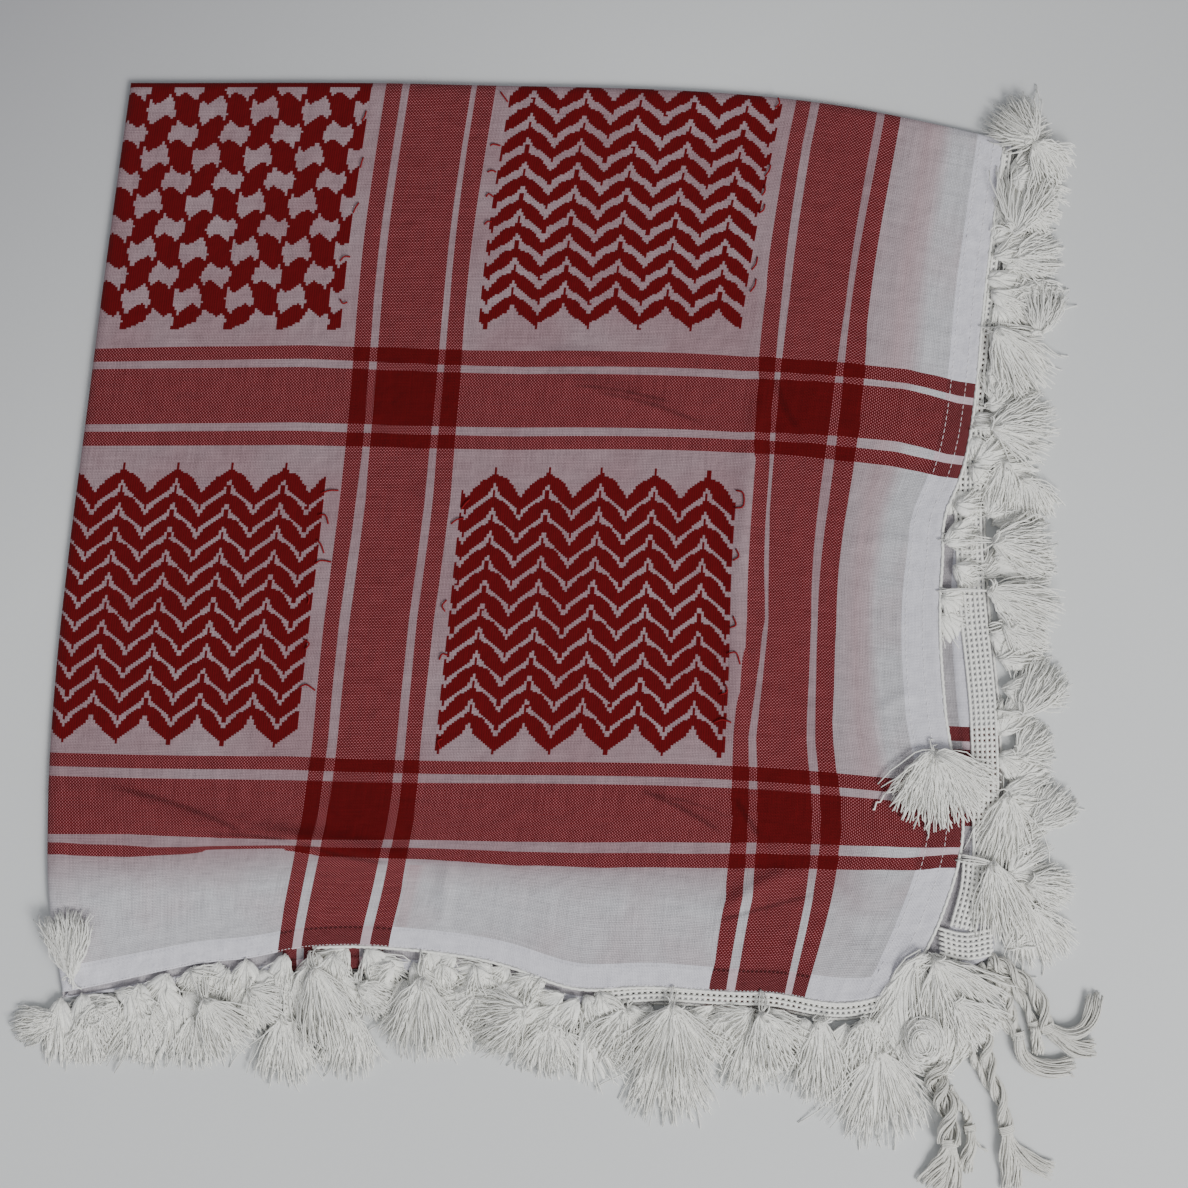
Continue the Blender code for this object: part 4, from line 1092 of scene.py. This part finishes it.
class Tassel:
    """A full round head at a place, and a skirt of strands that spread from it towards an end."""

    def __init__(self, head, end, spread, height, floor_z=FLOOR_Z, puff=1.0, splay=92.0, dome=1.0):
        self.head = np.asarray(head, float)
        out = np.asarray(end, float) - self.head
        self.way = math.atan2(out[1], out[0])
        self.reach = np.hypot(*out) + 0.003
        self.spread = math.radians(spread)
        self.height = height
        self.floor_z = floor_z
        self.puff = puff
        self.splay = math.radians(splay)
        self.dome = dome

    def near_head(self, rng, size, count, z):
        return with_height(self.head + rng.normal(0, size, (count, 2)), z)

    def from_head(self, angle, far, z):
        return with_height(self.head + direction(angle) * np.asarray(far)[..., None], z)

    def add_root(self, yarns, root, rng):
        """Loose yarns from the tape, at root, to the head."""
        count = 5
        jitter = rng.normal(0, 0.0014, (count, 2))
        starts = with_height(np.array(root[:2]) + jitter * 1.6, root[2])
        ends = with_height(self.head + jitter * 0.6, self.height)
        bow = rng.normal(0, 0.0028, (count, 2))
        lift = rng.uniform(0.0004, 0.0026, count)
        one = starts * 0.66 + ends * 0.34
        two = starts * 0.34 + ends * 0.66
        one[:, :2] += bow
        two[:, :2] += bow[::-1]
        one[:, 2] += lift
        two[:, 2] += lift
        yarns.add(bezier(starts, one, two, ends, 6), LOOP_RADIUS, rng.uniform(0.0, 0.5, count))

    def add_core(self, yarns, count):
        """A soft inner mass, so that no dark gaps show between the strands."""
        turn = np.linspace(-0.85, 0.85, count)
        angle = self.way + self.spread * 0.50 * turn
        low_z = 0.6 * self.height + 0.4 * self.floor_z + 0.0002
        core = bezier(self.from_head(angle, 0.0, self.height - 0.0008),
                      self.from_head(self.way + turn * 1.2, 0.0055, self.height + 0.0012 * self.puff),
                      self.from_head(angle, self.reach * 0.55, low_z),
                      self.from_head(angle, self.reach * 0.86, self.floor_z + 0.0012), len(CORE_SWELL))
        yarns.add(core, np.minimum(CORE_SWELL, core[..., 2] - 0.0002), 0.2, sides=5)

    def add_skirt(self, yarns, rng, strands, steps):
        """Plied strands that leave the head all round, bend over and spread to the end."""
        turn = rng.uniform(-1, 1, strands)
        layer = rng.uniform(0, 1, strands) ** 0.6
        first_way = self.way + turn * self.splay * rng.uniform(0.6, 1.1, strands)
        angle = self.way + self.spread * 0.54 * turn + rng.normal(0, 0.11, strands)
        length = self.reach * (1.05 - 0.14 * turn**2) * rng.uniform(0.74, 1.06, strands)
        bulge = rng.uniform(0.0040, 0.0085, strands) * self.dome
        start = self.near_head(rng, 0.0008, strands, self.height + 0.0012 * (layer - 0.5))
        lift = self.puff * (0.0070 * layer - 0.0012 - 0.0015 * np.abs(turn))
        second = self.from_head(first_way, bulge, self.height + lift)
        drop = self.height - self.floor_z + 0.0025
        last_z = self.floor_z + drop * (0.06 + 0.62 * layer) * rng.uniform(0.6, 1.15, strands)
        last = self.from_head(angle, length, last_z)
        third_z = last_z * 0.75 + 0.25 * self.height + self.puff * 0.0035 * layer
        third = self.from_head(angle + rng.normal(0, 0.10, strands), length * 0.62,
                               np.maximum(third_z, self.floor_z))
        third[:, :2] += direction(self.way + math.pi / 2) * (turn * 0.0042)[:, None]
        path = ripple(bezier(start, second, third, last, steps), angle, rng, 0.00135)
        path[..., 2] = np.maximum(path[..., 2], self.floor_z)
        radii = rng.uniform(*STRAND_RADII, strands)[:, None] * (1.0 - 0.30 * np.linspace(0, 1, steps))
        # Tone: random for each strand, plus painted shade that darkens the strands lying lower in the skirt.
        yarns.add(path, radii, rng.uniform(0, 1, strands) ** 1.5 * (1.15 - 0.9 * layer).clip(0, 1))

    def add_loops(self, yarns, rng, count):
        """Loose loops on top of the head."""
        way = self.way + rng.uniform(-1.5, 1.5, count)
        start = self.near_head(rng, 0.0012, count, self.height + 0.003)
        far = self.from_head(way + 0.5, rng.uniform(0.004, 0.008, count), self.height + 0.002 * self.puff)
        one = self.from_head(way, rng.uniform(0.005, 0.010, count), self.height + 0.0060 * self.puff)
        two = self.from_head(way + 0.8, rng.uniform(0.007, 0.011, count), self.height + 0.0050 * self.puff)
        yarns.add(bezier(start, one, two, far, 7), LOOP_RADIUS, rng.uniform(0, 0.4, count))

    def add_stray(self, yarns, rng):
        """A long curling strand that strays from the skirt."""
        t = np.linspace(0, 1, 10)
        angle = self.way + self.spread * rng.uniform(-0.75, 0.75)
        long = self.reach * rng.uniform(1.0, 1.2)
        curl = rng.uniform(0.0015, 0.0045) * np.sin(t * rng.uniform(4, 8) + rng.uniform(0, 6)) * t
        z = self.height * (1 - t) ** 1.5 + self.floor_z + 0.0040 * np.sin(math.pi * t) * self.puff
        path = self.from_head(angle, t * long, z)
        path[:, :2] += direction(angle + math.pi / 2) * curl[:, None]
        yarns.add(path, STRAY_RADIUS, 0.1)


def add_tassel(yarns, tassel, rng, root=None, strands=128, steps=8, loose=3):
    if root is not None:
        tassel.add_root(yarns, root, rng)
    tassel.add_core(yarns, 9 if strands > 60 else 6)
    tassel.add_skirt(yarns, rng, strands, steps)
    if loose:
        tassel.add_loops(yarns, rng, loose)
    for _ in range(loose):
        tassel.add_stray(yarns, rng)


def add_ball(yarns, middle, axis_angle, half_long, half_wide, base, high_up, strands, rng, loops):
    """A wound ball of yarn: a core on the floor, strands from pole to pole, and loops that go round it."""
    middle = np.asarray(middle, float)
    axis = direction(axis_angle)
    side = direction(axis_angle + math.pi / 2)
    t = np.linspace(-1, 1, 11)
    turn = np.linspace(-0.55 * math.pi, 0.55 * math.pi, strands) + rng.normal(0, 0.08, strands)
    twist = (0.5 * t)[None] * rng.uniform(0.2, 1.8, (strands, 1))
    swell = rng.uniform(0.84, 1.10, (strands, 1)) * (1 - t**2) ** 0.35
    across = np.sin(turn[:, None] + twist) * swell * half_wide
    lift = np.cos(turn[:, None] + twist) * swell * high_up
    flat = middle + axis * (t * half_long)[None, :, None] + side * across[..., None]
    path = with_height(flat, np.maximum(base + lift, 0.0010))
    yarns.add(path, BALL_RADIUS, rng.uniform(0, 0.8, strands))

    reach = 0.93 * min(high_up, half_wide)
    tall = (base + reach - GAP) / 2
    core = with_height(middle + axis * (t * half_long * 0.96)[:, None], tall + GAP)
    yarns.add(core, tall * np.sqrt(np.clip(1 - t**2, 0.002, 1)), 0.2, sides=14, flat=reach / tall)

    turn = np.linspace(0, 2 * math.pi, 22)
    for _ in range(loops):
        share = rng.uniform(0.35, 1.20)
        skew = rng.normal(0, 0.25)
        long = axis * math.cos(skew) + side * math.sin(skew)
        wide = side * math.cos(skew) - axis * math.sin(skew)
        flat = (middle + rng.normal(0, 0.0012, 2) + long * (np.cos(turn) * half_long * share)[:, None]
                + wide * (np.sin(turn) * half_wide * share)[:, None])
        level = base + high_up * math.sqrt(1 - min(share, 0.99) ** 2) + rng.uniform(0.0, 0.0018)
        yarns.add(with_height(flat, level), STRAND_RADII[0], rng.uniform(0, 0.7))


def add_wrap(yarns, places, height, rng, strands):
    """Strands that leave a head sideways and curl back under the wound ball beside it.

    Places, in mm: the head, how far the strands reach at its side and then low down, and their end.
    """
    head, side_place, low_place, end = np.array(places) * MM
    share = np.sqrt(rng.uniform(0.06, 1.0, strands))

    def near(place, size):
        return place + rng.normal(0, size, (strands, 2))

    start = with_height(near(head, 0.0016), height + rng.uniform(-0.002, 0.002, strands))
    one = near(head, 0.002) + (side_place - head) * share[:, None]
    one = with_height(one, height * (1.45 - 0.75 * share))
    two = near(end, 0.002) + (low_place - end) * share[:, None]
    two = with_height(two, height * (1.30 - 1.05 * share))
    last = with_height(near(end, 0.0045), rng.uniform(0.003, 0.009, strands))
    path = ripple(bezier(start, one, two, last, 10), np.full(strands, -1.6), rng, 0.0007)
    radii = rng.uniform(0.00056, 0.00074, strands)[:, None]
    yarns.add(path, radii, rng.uniform(0, 1, strands) ** 1.5)


def add_fillers(yarns, line, lean, rng, start, end, step, length, height, strands):
    """Plain short tassels close together, which lie under the listed ones."""
    along = distances(line)
    for at in np.arange(start, end, step):
        at = at + rng.uniform(-0.4, 0.4) * step
        here, ahead = between(line, along, (at, at + 0.002))
        out = math.atan2(*(ahead - here)[::-1]) + lean
        deep = rng.uniform(-0.0015, 0.0100)
        here = here + direction(out) * deep
        way = direction(out + rng.uniform(-0.95, 0.95))
        end_place = here + way * length * rng.uniform(0.65, 1.15)
        spread = rng.uniform(38, 88)
        tall = max(LOWEST_HEAD, height * rng.uniform(0.8, 1.15) - max(0.0, 0.0015 - deep))
        tassel = Tassel(here, end_place, spread, tall, puff=rng.uniform(0.5, 1.1), splay=60.0)
        add_tassel(yarns, tassel, rng, strands=strands, steps=6, loose=0)


FILLERS = {
    # start and end along the tape, step, length, height, strands
    ("right", "top"): (0.030, 0.340, 0.0125, 0.024, 0.0090, 30),
    ("right", "second"): (0.006, 0.520, 0.021, 0.028, 0.0062, 42),
    ("right", "lower"): (0.002, 0.560, 0.0190, 0.031, 0.0038, 44),
    ("near", "top"): (0.014, 0.380, 0.0104, 0.027, 0.0085, 30),
    ("near", "second"): (0.004, 0.560, 0.0205, 0.032, 0.0062, 44),
    ("near", "lower"): (0.002, 0.575, 0.0190, 0.040, 0.0038, 40),
}


def add_corner_tassel(yarns, root, rng):
    """The big tassel at the near right corner, with its wound ball."""
    add_tassel(yarns, Tassel((0.2480, -0.2240), (0.2330, -0.2860), 40, 0.0105, puff=0.9), rng, root, 60)
    add_wrap(yarns, ((250, -222), (208, -234), (212, -296), (262, -300)), 0.0125, rng, 130)
    add_wrap(yarns, ((254, -222), (300, -236), (298, -296), (258, -297)), 0.0110, rng, 60)
    add_tassel(yarns, Tassel((0.2580, -0.2240), (0.2890, -0.2740), 70, 0.0135, puff=1.2), rng, root, 150)
    add_ball(yarns, (0.2500, -0.2790), math.radians(-78), 0.0180, 0.0140, 0.0060, 0.0115, 70, rng, 26)


def make_fringe(side, level, finish):
    yarns = Yarns()
    rng = np.random.default_rng(sum(map(ord, side + level)))
    make_tape(yarns, side, level)
    line, _ = tape_line(side, level)
    along = distances(line)
    places = between(line, along, np.linspace(TAPE_START, along[-1] - TAPE_END[level], 800))
    add_fillers(yarns, line, math.pi / 2 if side == "right" else -math.pi / 2, rng, *FILLERS[side, level])
    for head_x, head_y, end_x, end_y, spread in TASSELS[side, level]:
        head = np.array((head_x, head_y)) * MM
        near = places[int(np.argmin(np.linalg.norm(places - head, axis=1)))]
        root = (*near, TAPE_HEIGHT[level] + 0.0008)
        if (head_x, head_y) == CORNER_HEAD:
            add_corner_tassel(yarns, root, rng)
            continue
        if (head_x, head_y) == BALL_HEAD:
            add_ball(yarns, (-0.3150, -0.2595), 0.1, 0.0150, 0.0110, 0.0035, 0.0070, 40, rng, 9)
        tassel = Tassel(head, np.array((end_x, end_y)) * MM, spread, LEVEL_HEIGHT[level])
        add_tassel(yarns, tassel, rng, root)
    return yarns.finish(f"yarn_{side}_{level}", finish, "yarn", f"fringe_{side}_{level}")


def make_tassel_on_cloth(name, finish):
    head_x, head_y, end_x, end_y, spread = TASSELS_ON_CLOTH[name]
    head = np.array((head_x, head_y)) * MM
    end = np.array((end_x, end_y)) * MM
    back = head - (end - head) / np.hypot(*(end - head)) * 0.008
    surface = CLOTH_TOP + HEM_RISE + float(relief(head))
    root = (*back, surface + 0.001)
    yarns = Yarns()
    rng = np.random.default_rng(sum(map(ord, name)))
    if name == "tassel_over_right_hem":
        mop = Tassel(head, end, spread, surface + 0.0036, surface + 0.0009, 1.35, 150.0, 1.75)
        add_tassel(yarns, mop, rng, root, 300, 9)
        t = np.linspace(0, 1, 22)
        flat = spline(MOP_STRAND, 22)
        flat[:, 1] += 0.0014 * np.sin(t * 26)
        yarns.add(with_height(flat, surface + 0.0030 - 0.002 * t), LOOP_RADIUS, 0.1, sides=4)
    else:
        tassel = Tassel(head, end, spread, surface + 0.0036, surface + 0.0009, splay=60.0)
        add_tassel(yarns, tassel, rng, root, 170, 9)
    return yarns.finish("yarn_" + name, finish, "yarn", name)


# ---------------------------------------------------------------- corner cords
def add_bundle(yarns, route, z, wide, thick, strands, rng, turns, ragged=0.0):
    """Loose yarns side by side along a route; wide and thick are half sizes at places along it.

    A ragged bundle's yarns end up to that share before it does.
    """
    steps = len(route)
    t = np.linspace(0, 1, steps)
    wide = np.interp(t, np.linspace(0, 1, np.size(wide)), np.atleast_1d(wide))
    thick = np.interp(t, np.linspace(0, 1, np.size(thick)), np.atleast_1d(thick))
    place = np.sqrt(rng.uniform(0.15, 1, strands))[:, None]
    turn = rng.uniform(0, 2 * math.pi, strands)[:, None] + 2 * math.pi * turns * t
    wave = 0.00045 * np.sin(t * rng.uniform(8, 20, (strands, 1)) + rng.uniform(0, 6, (strands, 1)))
    across = np.cos(turn) * place * wide + wave
    up = np.sin(turn) * place * thick
    flat = route + outward(route, 1) * across[..., None]
    path = with_height(flat, np.maximum(z + up, FLOOR_Z))
    if ragged:
        at = t * (1 - ragged * rng.uniform(0, 1, (strands, 1))) * (steps - 1)
        step = np.clip(at.astype(int), 0, steps - 2)
        share = (at - step)[..., None]
        rows = np.arange(strands)[:, None]
        path = path[rows, step] * (1 - share) + path[rows, step + 1] * share
    yarns.add(path, CORD_RADIUS, rng.uniform(0.1, 0.9, strands))


CORDS = {
    # plies: points, half width, turns;  tails: points, half widths;  collars: place, way, radius
    "corner_braid_1": {
        "plies": (
            (((296, -225), (306, -229), (319, -239), (330, -252), (336, -272)), 5.6, 2.0),
            (((296, -236), (309, -242), (319, -252), (327, -270)), 3.6, 1.5)),
        "tails": (
            (((336, -273), (347, -282), (358, -287), (371, -286)), (3.0, 6.0, 8.0)),
            (((336, -270), (350, -276), (362, -272), (367, -262), (369, -247)), (2.5, 5.0, 6.5)),
            (((327, -271), (329, -280), (331, -291)), (2.8, 3.5, 4.5))),
        "collars": (((336, -272), -70, 4.6), ((327, -270), -75, 3.6))},
    "corner_braid_2": {
        "plies": (
            (((289, -229), (303, -240), (310, -255), (315, -275)), 3.4, 2.5),
            (((297, -262), (305, -266), (314, -277)), 4.0, 0.8)),
        "tails": (
            (((316, -277), (318, -290), (327, -298), (342, -300), (357, -296)), (3.0, 6.0, 7.0)),
            (((340, -299), (350, -302), (356, -307)), (0.8, 0.8))),
        "collars": (((316, -277), -80, 4.4),)},
    "corner_braid_3": {
        "plies": (
            (((288, -262), (294, -280), (296, -298), (304, -321), (308, -341)), 5.2, 2.2),
            (((283, -286), (290, -301), (300, -318)), 3.0, 1.4)),
        "tails": (
            (((308, -342), (312, -352), (325, -364), (341, -372)), (3.5, 6.0, 6.5)),
            (((308, -342), (309, -356), (312, -370), (313, -385)), (3.5, 7.5, 8.5))),
        "collars": (((308, -341), -75, 5.2),)},
    "corner_braid_4": {
        "plies": ((((260, -294), (259, -306), (263, -316), (268, -330), (268, -350)), 8.0, 1.6),),
        "tails": (
            (((269, -351), (266, -362), (261, -372), (254, -383)), (4.0, 8.0, 9.5)),
            (((270, -351), (271, -362), (272, -374), (272, -386)), (3.0, 6.0, 7.5))),
        "collars": (((269, -350), -88, 6.0),)},
    "corner_braid_5": {
        "plies": ((((269, -312), (274, -322), (281, -331), (283, -341)), 2.6, 2.0),),
        "tails": (
            (((283, -342), (284, -352), (281, -362), (280, -372)), (2.2, 4.5, 5.5)),
            (((284, -344), (290, -354), (297, -358)), (0.8, 0.8))),
        "collars": (((283, -341), -80, 3.9),)},
}


def make_corner_cord(name, finish):
    """Cords of two loosely twisted plies, wrapped at their knots, with their yarns frayed behind."""
    rng = np.random.default_rng(sum(map(ord, name)))
    yarns = Yarns()
    for points, half, turns in CORDS[name]["plies"]:
        half = half * MM
        route = spline(points, 28)
        side = outward(route, 1)
        for start in (0.0, math.pi):
            turn = 2 * math.pi * turns * np.linspace(0, 1, 28) + start
            ply = route + side * (np.cos(turn) * half * 0.52)[:, None]
            z = half * 0.95 + 0.0008 + np.sin(turn) * half * 0.42
            add_bundle(yarns, ply, z, half * 0.52, half * 0.46, 22, rng, turns * 0.8)
    for points, halves in CORDS[name]["tails"]:
        half = np.array(halves) * MM
        full = half.max() > 0.002
        z = 0.0042 * (1 - np.linspace(0, 1, 12)) + 0.0030 if full else np.full(12, 0.0025)
        add_bundle(yarns, spline(points, 12), z, half, np.minimum(half * 0.6, 0.0026), 40 if full else 2, rng,
                   0.25, 0.16)
    for place, way, radius in CORDS[name]["collars"]:
        centre = np.array((*place, radius * 0.9)) * MM + (0.0, 0.0, 0.0008)
        add_collar(yarns, centre, direction(math.radians(way)), radius * MM)
    return yarns.finish("cord_" + name, finish, "braid", name)


# ---------------------------------------------------------------- stitches and loose ends
STITCH_ROWS = {
    # from the edge, step, length of a stitch
    "right": ((0.0125, 0.0042, 0.0027), (0.0250, 0.0046, 0.0030)),
    "near": ((0.0016, 0.0026, 0.0013),),
}


def make_stitches(finish):
    """Running stitches along the top cloth's hems: two rows on the right and one at the near edge."""
    yarns = Yarns()
    t = np.linspace(0, 1, 4)
    for side, rows in STITCH_ROWS.items():
        length, edge = (QUARTER_DOWN, QUARTER_ACROSS) if side == "right" else (QUARTER_ACROSS, QUARTER_DOWN)
        for inset, step, long in rows:
            starts = np.arange(0.006, length - 0.008, step)
            at = (starts[:, None] + t * long).ravel()
            row = np.array([edge - inset])
            across, down = (row, at) if side == "right" else (at, row)
            where = plan(across, down)
            z = CLOTH_TOP + HEM_RISE + relief(where) + wrinkles(where, across, down)
            path = with_height(where, z).reshape(len(starts), 4, 3)
            path[..., 2] += 0.00016 * np.sin(math.pi * t) - 0.00005
            yarns.add(path, STITCH_RADIUS, 0.2)
    return yarns.finish("hem_stitches", finish, "cloth")


def make_loose_ends(finish):
    """Ends of the pattern yarn that hang out beside the blocks."""
    yarns = Yarns()
    for points in LOOSE_ENDS:
        route = spline(points, 9)
        z = CLOTH_TOP + relief(route) + 0.0007 + 0.0008 * np.sin(np.linspace(0, math.pi, 9))
        yarns.add(with_height(route, z), LOOSE_END_RADIUS, 0.4, sides=4)
    return yarns.finish("loose_pattern_yarn", finish, "cloth")


# ---------------------------------------------------------------- floor, light and camera
FLOOR_HALF = 4.0
PHOTO_SIDE = 1188 * 0.686 * MM  # what the photo shows, at the floor: its pixels times a pixel's size
VIEW_CENTRE = np.array((25.0, 26.0)) * MM - BOX_MIDDLE
EYE_LEVEL = 0.006               # the camera's distance is measured from here, the cloth's top


def make_stage():
    """The pale floor, darker in its far corners: painted shade in the far left one, and a greyer tone towards
    the far right.
    """
    nodes = Nodes("floor_paper")
    place = nodes.add("ShaderNodeTexCoord").outputs["Object"]
    slow = nodes.noise(place, 1.3, 2.0)
    grain = nodes.noise(place, 260.0, 2.0)
    x, y, _ = nodes.split(place)
    # Painted shade: the floor's colour darkens towards its far left corner.
    corner = ramp(x * 0.75 - y, -0.30, -0.80)
    base = nodes.blend(slow, (0.700, 0.715, 0.715), (0.735, 0.750, 0.750))
    base = nodes.blend(corner, base, (0.375, 0.372, 0.388))
    base = nodes.blend(ramp(x + y, 0.45, 0.95), base, (0.55, 0.558, 0.562))
    base = nodes.brightness(base, grain * 0.03 + 0.985)
    nodes.feed(base, nodes.shader.inputs["Base Color"])
    nodes.set(Roughness=0.75, Specular_IOR_Level=0.3)
    mesh = bpy.data.meshes.new("floor")
    corners = [(x * FLOOR_HALF, y * FLOOR_HALF, 0) for x, y in ((-1, -1), (1, -1), (1, 1), (-1, 1))]
    mesh.from_pydata(corners, [], [(0, 1, 2, 3)])
    mesh.materials.append(nodes.material)
    made = bpy.data.objects.new("floor", mesh)
    bpy.context.scene.collection.objects.link(made)


def add_area_light(name, place, target, size, power, colour):
    light = bpy.data.lights.new(name, "AREA")
    light.shape = "SQUARE"
    light.size = size
    light.energy = power
    light.color = colour
    made = bpy.data.objects.new(name, light)
    made.location = place
    made.rotation_euler = (Vector(target) - Vector(place)).to_track_quat("-Z", "Y").to_euler()
    bpy.context.scene.collection.objects.link(made)


def make_light_and_camera():
    add_area_light("soft_key", (2.0, -2.2, 3.0), (0.1, -0.05, 0.0), 1.9, 165.0, (1.0, 0.995, 0.98))
    world = bpy.data.worlds.new("studio")
    world.use_nodes = True
    background = world.node_tree.nodes["Background"]
    background.inputs["Color"].default_value = (0.93, 0.95, 1.0, 1.0)
    background.inputs["Strength"].default_value = 0.43
    bpy.context.scene.world = world
    camera = bpy.data.cameras.new("camera")
    camera.lens = 70.0
    camera.sensor_width = 36.0
    made = bpy.data.objects.new("camera", camera)
    made.location = (*VIEW_CENTRE, PHOTO_SIDE * camera.lens / camera.sensor_width + EYE_LEVEL)
    bpy.context.scene.collection.objects.link(made)
    bpy.context.scene.camera = made


def main():
    cloth = cloth_material("keffiyeh_cotton", True)
    wrong_side = cloth_material("keffiyeh_cotton_wrong_side", False)
    yarn = yarn_material("tassel_yarn", (0.960, 0.955, 0.905), (0.88, 0.875, 0.825), 0.25)
    cord = yarn_material("corner_cord_yarn", (0.84, 0.83, 0.775), (0.68, 0.67, 0.62))
    red = yarn_material("red_pattern_yarn", (0.26, 0.010, 0.013), (0.17, 0.005, 0.008), 0.0)
    thread = yarn_material("sewing_thread", (0.86, 0.84, 0.86), (0.76, 0.73, 0.75))

    top = make_cloth_layer("cloth_quarter_top", 1, 176, cloth, "cloth_top_layer")
    second = make_cloth_layer("cloth_quarter_second", 2, 60, wrong_side, "cloth_hidden_layers")
    third = make_cloth_layer("cloth_quarter_third", 3, 44, wrong_side, "cloth_hidden_layers")
    bottom = make_cloth_layer("cloth_quarter_bottom", 4, 44, wrong_side, "cloth_hidden_layers")
    fringes = [make_fringe(side, level, yarn) for side, level in TASSELS]
    on_cloth = [make_tassel_on_cloth(name, yarn) for name in TASSELS_ON_CLOTH]
    cords = [make_corner_cord(name, cord) for name in CORDS]
    stitches = make_stitches(thread)
    loose = make_loose_ends(red)

    make_stage()
    make_light_and_camera()


main()
